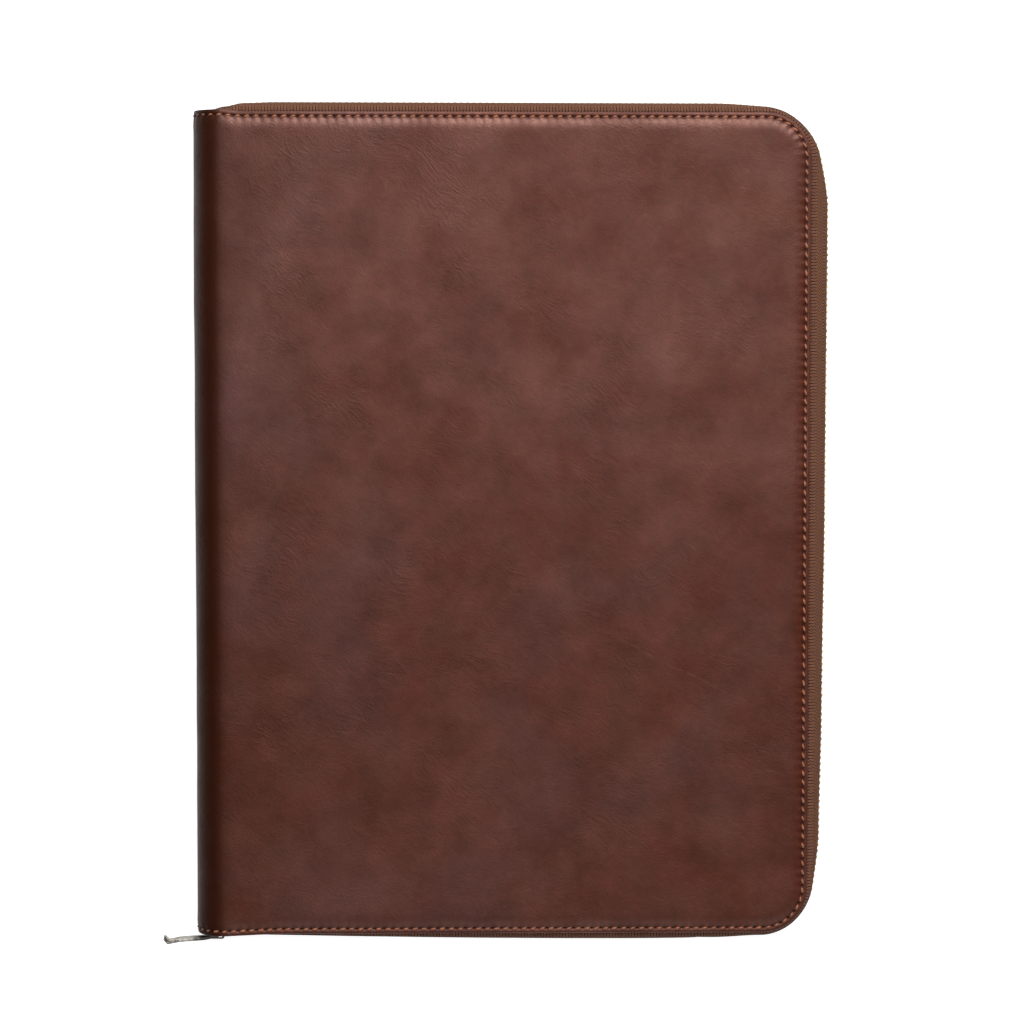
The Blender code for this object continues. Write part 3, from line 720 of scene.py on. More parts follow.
def build_leather():
    k = 1.0
    flat_n, spine_n, arc_n, side_n = (
        int(292 * k),
        int(52 * k),
        int(35 * k),
        int(396 * k),
    )
    p, n, length, total = outline(flat_n, spine_n, arc_n, side_n)
    m = len(p)
    S, Y, H, D, SE, ED, PAINTED_SHADE_BANDS, UV = [], [], [], [], [], [], [], []

    def add(s, y, d, dh=0.0, length_of=None, top=True, edge=None):
        s, y = np.asarray(s, float), np.asarray(y, float)
        d = np.broadcast_to(np.asarray(d, float), s.shape)
        ln = length_of if length_of is not None else np.full(s.shape, PITCH / 2)
        h, seam, ed, painted_shade_band, spine = leather_height(s, y, np.maximum(d, 0.0), ln, total)
        pts = list(zip(s, y))
        slow = fractal(pts, 0.011, 2, 3.1) * 0.24 + fractal(pts, 0.045, 2, 9.4) * 0.07
        slow = slow * smooth((d - 3) / 12)
        # flat where the case rests: the back only sinks
        slow = np.where(s < -HS, -np.abs(slow), slow)
        crease = -0.22 * np.exp(-(((np.abs(s) - HS - 1.5) / 2.2) ** 2)) * smooth((d - 4) / 10)
        spine_noise = spine * fractal(pts, 0.03, 2, 5.5) * 0.14 * smooth((d - 3) / 8)
        h = h + slow + crease + spine_noise
        h = np.where(s < -HS, np.minimum(h, 0.0), h)
        S.append(s)
        Y.append(y)
        D.append(d)
        H.append(h + dh)
        SE.append(seam if top else seam * 0)
        ED.append(ed if edge is None else np.full(s.shape, edge))
        PAINTED_SHADE_BANDS.append(painted_shade_band if top else painted_shade_band * 0)

    rings = []
    count = 0

    def ring(d, dh=0.0, top=True, edge=None, hold=None):
        nonlocal count
        q = p - n * d
        dd = d if hold is None else hold
        add(q[:, 0], q[:, 1], dd, dh, length, top, edge)
        rings.append(list(range(count, count + m)))
        count += m

    # the underside, the rounded edge, then the top, inwards
    for d in (12.0, 6.0, 2.0):
        ring(d, -LEATHER, False, 0.0)
    for d, dh, e in (
        (0.55, -LEATHER, 0.2),
        (0.18, -LEATHER + 0.10, 0.6),
        (0.02, -LEATHER + 0.38, 0.8),
        (0.0, -0.62, 0.8),
        (0.04, -0.32, 0.9),
        (0.20, -0.10, 1.0),
    ):
        ring(d, dh, e > 0.5, e, 0.4)
    ring(0.48)
    for d in (0.8, 1.15, 1.5, 1.8, SEAM, 2.5, 2.8, 3.15, 3.6, 4.2, 5.0, 6.0, 7.2, 8.6, 10.2, 12.0):
        ring(d)
    faces = []
    for r0, r1 in zip(rings, rings[1:]):
        for i in range(m):
            j = (i + 1) % m
            faces.append((r0[i], r0[j], r1[j], r1[i]))
    # the top's middle
    step = 2.6
    cols = columns(step, 1.28, A - 13.4)
    rows = np.linspace(-(B - 13.4), B - 13.4, int(2 * (B - 13.4) / step) + 1)
    inner = inside_grid(13.3, cols, rows)
    q = p - n * 12.0
    tri = fill([tuple(v) for v in q], inner)
    base = rings[-1][0]
    add([v[0] for v in inner], [v[1] for v in inner], np.minimum(A - np.abs([v[0] for v in inner]), B - np.abs([v[1] for v in inner])))
    start = count
    count += len(inner)
    faces += [tuple(base + i if i < m else start + i - m for i in t) for t in tri]
    # the underside's middle, coarse
    cols = columns(14.0, 2.5, A - 16.0)
    rows = np.linspace(-(B - 16.0), B - 16.0, 24)
    inner = inside_grid(16.0, cols, rows)
    tri = fill([tuple(v) for v in q], inner)
    base = rings[0][0]
    add([v[0] for v in inner], [v[1] for v in inner], np.full(len(inner), 30.0), -LEATHER, None, False, 0.0)
    start = count
    count += len(inner)
    faces += [tuple(base + i if i < m else start + i - m for i in t[::-1]) for t in tri]
    S, Y, H, D, SE, ED, PAINTED_SHADE_BANDS = (np.concatenate(v) for v in (S, Y, H, D, SE, ED, PAINTED_SHADE_BANDS))
    # a glossier band with a painted highlight on the slope near the short sides
    gloss_and_painted_highlight = np.exp(-(((D - 4.2) / 1.9) ** 2)) * short_side(Y) * (1 - spine_shade(S))
    # the painted shade band is weaker along the short sides, where the light falls on the slope
    PAINTED_SHADE_BANDS = PAINTED_SHADE_BANDS * (1 - 0.75 * short_side(Y))
    verts = wrap(S, Y, H)
    normals = vertex_normals(verts, faces)
    # the top must face out
    t = rings[-1][0]
    mid_top = np.argmin(np.abs(S[rings[-1]] - (HS + 60)))
    if normals[rings[-1][mid_top]][2] < 0:
        faces = [f[::-1] for f in faces]
        normals = -normals
    uv = np.stack([S, Y], 1)
    names = ["back_leather_skin", "spine_leather_skin_lower", "spine_leather_skin_upper", "front_leather_skin"]
    replaced = [
        ("back_leather",),
        ("spine_leather_lower",),
        ("spine_leather_middle",),
        ("front_leather", "spine_leather_upper"),
    ]
    out = []
    for i, (index, part) in enumerate(split(verts, faces, S)):
        obj = make(
            names[i],
            verts[index],
            part,
            M_COVER,
            uv[index],
            {"seam": SE[index], "edge": ED[index], "painted_shade_band": PAINTED_SHADE_BANDS[index], "gloss_and_painted_highlight": gloss_and_painted_highlight[index], "shade": spine_shade(S[index])},
            normals[index],
        )
        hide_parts(*replaced[i])
        strip_blend(obj)
        out.append(obj)
    return out, total


def seam_point(path, total, at):
    """Sheet point, direction and outward normal at a length along the seam."""
    p, n, length, _ = path
    at = at % total
    i = int(np.searchsorted(length, at, side="right") - 1)
    j = (i + 1) % len(p)
    q0, q1 = p[i] - n[i] * SEAM, p[j] - n[j] * SEAM
    span = np.linalg.norm(q1 - q0)
    f = (at - length[i]) / span if span > 0 else 0.0
    q = q0 + (q1 - q0) * f
    nn = n[i] + (n[j] - n[i]) * f
    nn = nn / np.linalg.norm(nn)
    return q, np.array([-nn[1], nn[0]]), nn


def build_thread(total, inner=False):
    path = outline(292, 52, 35, 396)
    count = round(total / PITCH)
    segs, sides = ((9, 8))
    groups = [([], [], []) for _ in range(4)]
    rng = np.random.default_rng(8 if inner else 7)
    sign = -1.0 if inner else 1.0
    for k in range(count):
        mid = (k + 0.5) / count * total + rng.normal(0, 0.06)
        length = 2.30 + rng.normal(0, 0.15)
        slant = sign * (0.34 + rng.normal(0, 0.07))
        fat = 1.0 + rng.normal(0, 0.09)
        q, t, nn = seam_point(path, total, mid)
        group = int(np.searchsorted(CUTS[1:4], q[0], side="right"))
        # painted shade on the stitches over the spine's middle
        painted_spine_shade = 0.0 if inner else 1.0 - float(smooth(np.array((abs(q[0]) - 9.0) / 6.5)))
        verts, faces, uvs = groups[group]
        base = len(verts)
        line = []
        for i in range(segs + 1):
            u = i / segs
            q, t, nn = seam_point(path, total, mid + (u - 0.5) * length)
            qq = q + nn * (0.5 - u) * 2 * slant
            bow = math.sin(math.pi * u) ** 0.62
            if inner:
                lift = -lining_offset(q[0]) - LINING - 0.25 * bow + 0.24
            else:
                lift = seam_height(q[0], q[1]) - 0.78 + 0.90 * bow
            line.append((qq[0], qq[1], lift))
        line = np.array(line)
        centre = wrap(line[:, 0], line[:, 1], line[:, 2])
        up = wrap(line[:, 0], line[:, 1], line[:, 2] + 1.0) - centre
        for i in range(segs + 1):
            a = centre[max(i - 1, 0)]
            b = centre[min(i + 1, segs)]
            d = (b - a) / np.linalg.norm(b - a)
            w = np.cross(up[i], d)
            w /= np.linalg.norm(w)
            v = np.cross(d, w)
            u = i / segs
            r = fat * (0.13 + 0.27 * math.sin(math.pi * min(max(u, 0.04), 0.96) ** 0.78) ** 0.8)
            if inner:
                r *= 0.7
            for c in range(sides):
                ang = 2 * math.pi * c / sides
                verts.append(centre[i] + w * math.cos(ang) * r * 1.08 + v * math.sin(ang) * r * 0.86)
                uvs.append((k * 4.1 + u * length, c / sides * 2.4 + 100.0 * painted_spine_shade))
        for i in range(segs):
            for c in range(sides):
                e = (c + 1) % sides
                faces.append((base + i * sides + c, base + i * sides + e, base + (i + 1) * sides + e, base + (i + 1) * sides + c))
        faces.append(tuple(base + c for c in reversed(range(sides))))
        faces.append(tuple(base + segs * sides + c for c in range(sides)))
    label = "inner_seam_thread" if inner else "seam_thread"
    names = [f"back_{label}", f"spine_{label}_lower", f"spine_{label}_upper", f"front_{label}"]
    for i, (verts, faces, uvs) in enumerate(groups):
        obj = make(names[i], verts, faces, M_THREAD, uvs)
        strip_blend(obj)


# ---------------------------------------------------------------- the lining, one sheet from cover to cover
LINING = 0.55


def lining_offset(s):
    """From the case's outer face in to the lining's outer face."""
    return 1.70 + (5.02 - 1.70) * float(smooth(np.array((abs(s) - HS + 2.6) / 3.5)))


def build_lining():
    inset = 1.1
    flat_n, spine_n, arc_n, side_n = 60, 32, 12, 80
    p, n, _, _ = outline(flat_n, spine_n, arc_n, side_n)
    m = len(p)
    S, Y, H = [], [], []
    rings = []

    def ring(d, h, swell=0.0):
        q = p - n * d
        base = len(S)
        for s0, y0 in q:
            S.append(s0)
            Y.append(y0)
            H.append(-lining_offset(s0) - h)
        rings.append(list(range(base, base + m)))

    for d, h in ((12, 0.0), (inset + 0.3, 0.0), (inset + 0.06, 0.08), (inset, LINING / 2), (inset + 0.06, LINING - 0.08), (inset + 0.3, LINING), (2.0, LINING + 0.02), (3.4, LINING), (12, LINING)):
        ring(d, h)
    faces = []
    for r0, r1 in zip(rings, rings[1:]):
        for i in range(m):
            j = (i + 1) % m
            faces.append((r0[i], r1[i], r1[j], r0[j]))
    cols = columns(9.0, 0.64, A - 16.0)
    rows = np.linspace(-(B - 16.0), B - 16.0, 40)
    inner = inside_grid(16.0, cols, rows)
    q = p - n * 12
    tri = fill([tuple(v) for v in q], inner)
    for ri, h in ((-1, LINING), (0, 0.0)):
        base_ring, start = rings[ri][0], len(S)
        for s0, y0 in inner:
            S.append(s0)
            Y.append(y0)
            drape = 0.12 * noise.noise(Vector((s0 * 0.03, y0 * 0.03, 4.0))) if h else 0.0
            H.append(-lining_offset(s0) - h + min(drape, 0.0))
        part = [tuple(base_ring + i if i < m else start + i - m for i in t) for t in tri]
        faces += [t[::-1] for t in part] if ri == -1 else part
    S, Y, H = (np.array(v, float) for v in (S, Y, H))
    verts = wrap(S, Y, H)
    normals = vertex_normals(verts, faces)
    k = rings[-1][int(np.argmin(np.abs(S[rings[-1]] - (HS + 60))))]
    if normals[k][2] > 0:
        faces = [f[::-1] for f in faces]
        normals = -normals
    uv = np.stack([S, Y], 1)
    names = ["back_lining_cloth", "spine_lining_cloth_lower", "spine_lining_cloth_upper", "front_lining_cloth"]
    replaced = [("back_lining",), ("spine_lining_lower",), ("spine_lining_middle",), ("front_lining", "spine_lining_upper")]
    for i, (index, part) in enumerate(split(verts, faces, S)):
        obj = make(names[i], verts[index], part, M_LINING, uv[index], normals=normals[index])
        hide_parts(*replaced[i])
        strip_blend(obj)


# ---------------------------------------------------------------- the zip's run along the leather's free edge
RUN_X = RIGHT - R_CORNER - ZIP_START_X
RUN_Y = 2 * (TOP - R_CORNER)
ARC = math.pi / 2 * R_CORNER
S_END = 2 * RUN_X + 2 * ARC + RUN_Y
EARLY = 5.2  # the tape starts this far before the teeth
BOW = [
    (-EARLY, 0.6),
    (0.0, 2.0),
    (8.0, 3.5),
    (22.0, 3.9),
    (RUN_X - 22.0, 3.8),
    (RUN_X + ARC / 2 - 3.0, 2.0),
    (RUN_X + ARC + 21.0, 7.3),
    (RUN_X + ARC + RUN_Y * 0.45, 6.9),
    (RUN_X + ARC + RUN_Y * 0.75, 6.1),
    (RUN_X + ARC + RUN_Y - 24.0, 5.2),
    (RUN_X + ARC + RUN_Y + ARC / 2, 1.5),
    (RUN_X + 2 * ARC + RUN_Y + 16.0, 2.5),
]


def edge_at(s):
    """Point and outward direction on the leather's free edge, s along it from the spine's top end."""
    cx, cy = RIGHT - R_CORNER, TOP - R_CORNER
    if s <= RUN_X:
        return np.array((ZIP_START_X + s, TOP)), np.array((0.0, 1.0))
    s -= RUN_X
    if s <= ARC:
        a = math.pi / 2 - s / R_CORNER
        n = np.array((math.cos(a), math.sin(a)))
        return np.array((cx, cy)) + n * R_CORNER, n
    s -= ARC
    if s <= RUN_Y:
        return np.array((RIGHT, cy - s)), np.array((1.0, 0.0))
    s -= RUN_Y
    if s <= ARC:
        a = -s / R_CORNER
        n = np.array((math.cos(a), math.sin(a)))
        return np.array((cx, -cy)) + n * R_CORNER, n
    s -= ARC
    return np.array((cx - s, -TOP)), np.array((0.0, -1.0))


def out_at(s):
    """How far outside the leather the chain runs."""
    p, n = edge_at(s)
    if s >= RUN_X + 2 * ARC + RUN_Y:
        x = p[0]
        line = CHAIN_OUT_A + SLOPE * (x - SLIDER_X)
        bow = 1.40 * math.sin(math.pi * min(max((x + 114) / 198, 0), 1)) ** 0.5
        near = float(smooth(np.array((S_END - s) / 1.0))) if s > S_END else 1.0
        start = RUN_X + 2 * ARC + RUN_Y
        f = float(smooth(np.array((s - start) / 22.0)))
        return (1 - f) * 1.9 + f * (line + bow * near)
    knots = BOW
    if s <= knots[0][0]:
        return knots[0][1]
    for (s0, v0), (s1, v1) in zip(knots, knots[1:]):
        if s <= s1:
            t = (s - s0) / (s1 - s0)
            return v0 + (v1 - v0) * t * t * (3 - 2 * t)
    return knots[-1][1]


def chain_frame(s):
    """Point on the chain's line, with its outward and forward directions."""
    e = 0.4
    a = edge_at(s - e)[0] + edge_at(s - e)[1] * out_at(s - e)
    b = edge_at(s + e)[0] + edge_at(s + e)[1] * out_at(s + e)
    d = (b - a) / np.linalg.norm(b - a)
    p, n = edge_at(s)
    nn = np.array((-d[1], d[0]))
    if nn @ n < 0:
        nn = -nn
    return p + n * out_at(s), nn, d


def tape_line(s, out):
    """The tape's middle from under the leather to the teeth, in (outwards, height from the case's middle)."""
    z_hold, z_up = MID - 3.05, 4.4
    sag = 0.18 * noise.noise(Vector((s * 0.06, 3.3, 0.0)))
    pts = [(-4.6, z_hold), (-2.0, z_hold), (-0.4, z_hold - 0.02)]
    for k in range(1, 11):
        t = math.pi / 2 * k / 10
        bulge = 0.35 * math.sin(math.pi * k / 10)
        pts.append((out * math.sin(t) ** 0.95 + bulge * 0.3, z_up + (z_hold - z_up) * math.cos(t) ** 1.05 + bulge * 0.4 + sag * math.sin(math.pi * k / 10)))
    pts.append((out, 2.6))
    pts.append((out, 1.25))
    return pts


def build_tape(front):
    step = 1.5
    s0, s1 = -EARLY, S_END + (1.0 if front else EARLY)
    count = int((s1 - s0) / step)
    half = 0.28
    verts, uvs, faces = [], [], []
    width = None
    for i in range(count + 1):
        s = s0 + (s1 - s0) * i / count
        p, n = edge_at(s)
        out = out_at(s)
        if front and s > S_END - 9.0:
            # near the slider's end the tape is left as it is
            pass
        line = tape_line(s, out)
        top, bottom = [], []
        run = -4.6
        for j, (u, z) in enumerate(line):
            u0, z0 = line[max(j - 1, 0)]
            u1, z1 = line[min(j + 1, len(line) - 1)]
            dd = np.array((u1 - u0, z1 - z0))
            dd /= np.linalg.norm(dd)
            if j:
                run += math.hypot(u - u0, z - z0)
            nu, nz = -dd[1], dd[0]
            top.append((u + nu * half, z + nz * half, run))
            bottom.append((u - nu * half, z - nz * half, run))
        ring = top + bottom[::-1]
        width = len(ring)
        for u, z, r in ring:
            zz = MID + z if front else MID - z
            verts.append((p[0] + n[0] * u, p[1] + n[1] * u, zz))
            uvs.append((r, s))
    for i in range(count):
        for j in range(width):
            k = (j + 1) % width
            a, b, c, d = i * width + j, i * width + k, (i + 1) * width + k, (i + 1) * width + j
            faces.append((a, b, c, d) if front else (d, c, b, a))
    faces.append(tuple(range(width))[:: -1 if front else 1])
    faces.append(tuple(count * width + j for j in range(width))[:: 1 if front else -1])
    name = "front" if front else "back"
    obj = make(f"{name}_zip_tape_woven", verts, faces, M_TAPE, uvs)
    obj.data.set_sharp_from_angle(angle=math.radians(60))
    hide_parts(f"{name}_zip_tape")
    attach(obj, f"{name}_cover")
    return obj


def build_loops(front):
    """A row of flat cord loops along the tape, beside the leather."""
    pitch = TOOTH / 2
    n_loop = int((S_END + EARLY - 1) / pitch)
    ring_n, tube_n = ((14, 6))
    verts, uvs, faces = [], [], []
    rng = np.random.default_rng(11)
    for i in range(n_loop):
        s = -EARLY + 1.5 + pitch * i
        out = out_at(s)
        if out < 1.3:
            continue
        p, n = edge_at(s)
        t = np.array((-n[1], n[0]))
        line = tape_line(s, out)
        reach = min(2.15, 0.85 * out + 0.2)
        base = len(verts)
        turn = rng.normal(0, 0.08)

        def on_tape(u):
            for (u0, z0), (u1, z1) in zip(line, line[1:]):
                if u <= u1:
                    return z0 + (z1 - z0) * (u - u0) / max(u1 - u0, 1e-6)
            return line[-1][1]

        for a in range(ring_n):
            ang = 2 * math.pi * a / ring_n
            ru, rs = reach / 2 * math.cos(ang), 0.31 * math.sin(ang)
            u = 0.18 + reach / 2 + ru + (turn + 0.35) * rs
            z = on_tape(u) + 0.44
            centre = np.array((u, rs, z))
            radial = np.array((math.cos(ang), math.sin(ang), 0.0))
            for b in range(tube_n):
                bt = 2 * math.pi * b / tube_n
                w = centre + radial * 0.175 * math.cos(bt) + np.array((0, 0, 0.24)) * math.sin(bt)
                x = p + n * w[0] + t * w[1]
                verts.append((x[0], x[1], MID + w[2] if front else MID - w[2]))
                uvs.append((i * 5.0 + a / ring_n * 5.0, b / tube_n * 2.0))
        for a in range(ring_n):
            for b in range(tube_n):
                a1, b1 = (a + 1) % ring_n, (b + 1) % tube_n
                f = (base + a * tube_n + b, base + a1 * tube_n + b, base + a1 * tube_n + b1, base + a * tube_n + b1)
                faces.append(f if front else f[::-1])
    name = "front" if front else "back"
    obj = make(f"{name}_zip_cord_loops", verts, faces, M_CORD, uvs)
    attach(obj, f"{name}_cover")
    return obj


TOOTH_SIDE = [
    # (outwards, height) of a tooth's outline: legs round the tape's bead, head at the meshing end
    (-0.62, -0.95), (0.62, -0.95), (0.92, -0.55), (0.96, 0.35), (0.74, 0.75),
    (1.02, 1.15), (1.06, 2.55), (0.80, 3.05), (0.36, 3.12), (-0.36, 3.12), (-0.80, 3.05), (-1.06, 2.55),
    (-1.02, 1.15), (-0.74, 0.75), (-0.96, 0.35), (-0.92, -0.55),
]


def build_teeth(front):
    n_teeth = int((S_END - (0 if not front else 0)) / TOOTH)
    verts, faces = [], []
    m = len(TOOTH_SIDE)
    for i in range(n_teeth):
        s = 3.0 + TOOTH * (i + (0.0 if front else 0.5))
        if s > S_END - 0.4:
            continue
        p, n, d = chain_frame(s)
        base = len(verts)
        # four rings: bevelled end faces
        for along, shrink in ((-0.66, 0.72), (-0.50, 1.0), (0.50, 1.0), (0.66, 0.72)):
            for u, z in TOOTH_SIDE:
                k = along * (0.72 if z < 0.4 else 1.0)
                zz = 1.05 + (z - 1.05) * (1 - (1 - shrink) * 0.35)
                uu = u * shrink - 0.44 + 0.42 * max(float(n[0]), 0.0) ** 4 + 0.22 * max(-float(n[1]), 0.0)
                x = p + n * uu + d * k
                verts.append((x[0], x[1], MID + zz if front else MID - zz))
        for r in range(3):
            for j in range(m):
                k = (j + 1) % m
                f = (base + r * m + j, base + r * m + k, base + (r + 1) * m + k, base + (r + 1) * m + j)
                faces.append(f)
        faces.append(tuple(base + j for j in reversed(range(m))))
        faces.append(tuple(base + 3 * m + j for j in range(m)))
    name = "front" if front else "back"
    obj = make(f"{name}_zip_teeth_row", verts, faces, M_BRASS)
    bm = bmesh.new()
    bm.from_mesh(obj.data)
    bmesh.ops.recalc_face_normals(bm, faces=bm.faces)
    bm.to_mesh(obj.data)
    bm.free()
    obj.data.set_sharp_from_angle(angle=math.radians(50))
    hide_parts(f"{name}_zip_teeth")
    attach(obj, f"{name}_cover")


def build_stop(front):
    """A bent clip round the tape's bead at the upper end of the teeth."""
    p, n, d = chain_frame(0.4)
    verts, faces = [], []
    out = [(-0.9, 0.06), (0.55, 0.06), (0.8, 0.4), (0.8, 2.4), (0.5, 2.9), (-0.9, 2.9)]
    m = len(out)
    for along, k in ((-1.15, 0.8), (-0.95, 1.0), (0.95, 1.0), (1.15, 0.8)):
        for u, z in out:
            x = p + n * (u * k - 0.45) + d * along
            zz = 1.15 + (z - 1.15) * k
            verts.append((x[0], x[1], MID + zz if front else MID - zz))
    for r in range(3):
        for j in range(m):
            k = (j + 1) % m
            faces.append((r * m + j, r * m + k, (r + 1) * m + k, (r + 1) * m + j))
    faces.append(tuple(reversed(range(m))))
    faces.append(tuple(3 * m + j for j in range(m)))
    name = "front" if front else "back"
    obj = make(f"{name}_zip_stop_clip", verts, faces, M_BRASS)
    bm = bmesh.new()
    bm.from_mesh(obj.data)
    bmesh.ops.recalc_face_normals(bm, faces=bm.faces)
    bm.to_mesh(obj.data)
    bm.free()
    obj.data.set_sharp_from_angle(angle=math.radians(40))
    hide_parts(f"{name}_zip_stop")
    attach(obj, f"{name}_cover")


# ---------------------------------------------------------------- copies of CAD parts with rounded edges
def softened(node, name, mat, body, width, segments=3, angle=32, subdivide=0):
    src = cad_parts[node]
    mesh = src.data.copy()
    mesh.name = name
    obj = bpy.data.objects.new(name, mesh)
    bpy.context.scene.collection.objects.link(obj)
    bm = bmesh.new()
    bm.from_mesh(mesh)
    bmesh.ops.remove_doubles(bm, verts=bm.verts, dist=1e-6)
    bmesh.ops.dissolve_limit(bm, angle_limit=math.radians(1.0), verts=bm.verts, edges=bm.edges)
    bm.to_mesh(mesh)
    bm.free()
    mod = obj.modifiers.new("bevel", "BEVEL")
    mod.width = width * MM
    mod.segments = segments
    mod.limit_method = "ANGLE"
    mod.angle_limit = math.radians(angle)
    mod.harden_normals = True
    mesh.materials.clear()
    mesh.materials.append(mat)
    mesh.polygons.foreach_set("use_smooth", [True] * len(mesh.polygons))
    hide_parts(node)
    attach(obj, body)
    return obj


def build_pull():
    """The CAD's pull with a stouter, hand-worn strip: thicker, slightly rolled, its edges eased."""
    obj = softened("pull_tab", "pull_long_tab", M_PULL, "zip_pull", 0.16, 2)
    src = obj.data
    co = np.empty(len(src.vertices) * 3)
    src.vertices.foreach_get("co", co)
    co = co.reshape(-1, 3)
    world = np.array(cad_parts["pull_tab"].matrix_world)
    pts = co @ world[:3, :3].T + world[:3, 3]
    centre = pts.mean(0)
    _, _, axes = np.linalg.svd(pts - centre, full_matrices=False)
    long_axis, wide_axis, thin_axis = axes
    if abs(wide_axis[2]) < abs(thin_axis[2]):
        wide_axis, thin_axis = thin_axis, wide_axis
    rel = pts - centre
    u, v, w = rel @ long_axis, rel @ wide_axis, rel @ thin_axis
    # w is the thin way and takes in the bend; thicken about the strip's own middle line
    order = np.round(u / 0.0004)
    mid = np.array([0.5 * (w[np.abs(u - x) < 0.0012].min() + w[np.abs(u - x) < 0.0012].max()) for x in u])
    end = np.clip((np.abs(u) - 0.002) / 0.004, 0, 1)
    w2 = mid + (w - mid) * 1.85
    # the eye's end keeps its size so that it still turns on the bridge
    eye = u < 0 if long_axis[0] * (-1) < 0 else u > 0
    bridge = pts[:, 0].max()
    near = np.clip((bridge - pts[:, 0]) / 0.006 - 0.9, 0, 1)
    w2 = w + (w2 - w) * near
    roll = math.radians(9.0) * near
    v3 = v * np.cos(roll) - (w2 - mid) * np.sin(roll)
    w3 = mid + v * np.sin(roll) + (w2 - mid) * np.cos(roll)
    new = centre + np.outer(u, long_axis) + np.outer(v3, wide_axis) + np.outer(w3, thin_axis)
    along = (new[:, 0] - new[:, 0].min() - 0.002) / (bridge - 0.0078 - new[:, 0].min() - 0.002)
    new[:, 1] += 0.0010 * np.sin(math.pi * np.clip(along, 0, 1))
    inverse = np.linalg.inv(world)
    back = new @ inverse[:3, :3].T + inverse[:3, 3]
    src.vertices.foreach_set("co", back.ravel())
    src.update()


# ---------------------------------------------------------------- flat leather and foam pieces inside
def convex_distance(points, x, y):
    """Distance inwards from the sides of a convex outline, given anticlockwise."""
    pts = np.asarray(points, float)
    best = np.full(np.shape(x), 1e9)
    for a, b in zip(pts, np.roll(pts, -1, 0)):
        e = b - a
        length = np.hypot(*e)
        if length < 1e-9:
            continue
        nx, ny = -e[1] / length, e[0] / length
        best = np.minimum(best, (x - a[0]) * nx + (y - a[1]) * ny)
    return best


def resample(points, step):
    out, nrm = [], []
    pts = [np.array(v, float) for v in points]
    k = len(pts)
    for i in range(k):
        a, b = pts[i], pts[(i + 1) % k]
        length = np.linalg.norm(b - a)
        if length < 1e-9:
            continue
        count = max(1, int(round(length / step)))
        e = (b - a) / length
        for j in range(count):
            out.append(a + (b - a) * j / count)
            nrm.append(np.array((-e[1], e[0])))
    return np.array(out), np.array(nrm)


def inset_ring(points, ring_p, ring_n, d):
    """The ring moved d inwards, and no nearer than d to any side."""
    q = ring_p + ring_n * d
    pts = np.asarray(points, float)
    for _ in range(4):
        for a, b in zip(pts, np.roll(pts, -1, 0)):
            e = b - a
            length = np.hypot(*e)
            if length < 1e-9:
                continue
            n = np.array((-e[1], e[0])) / length
            short = d - (q - a) @ n
            q = q + np.where(short > 1e-9, short, 0.0)[:, None] * n
    return q


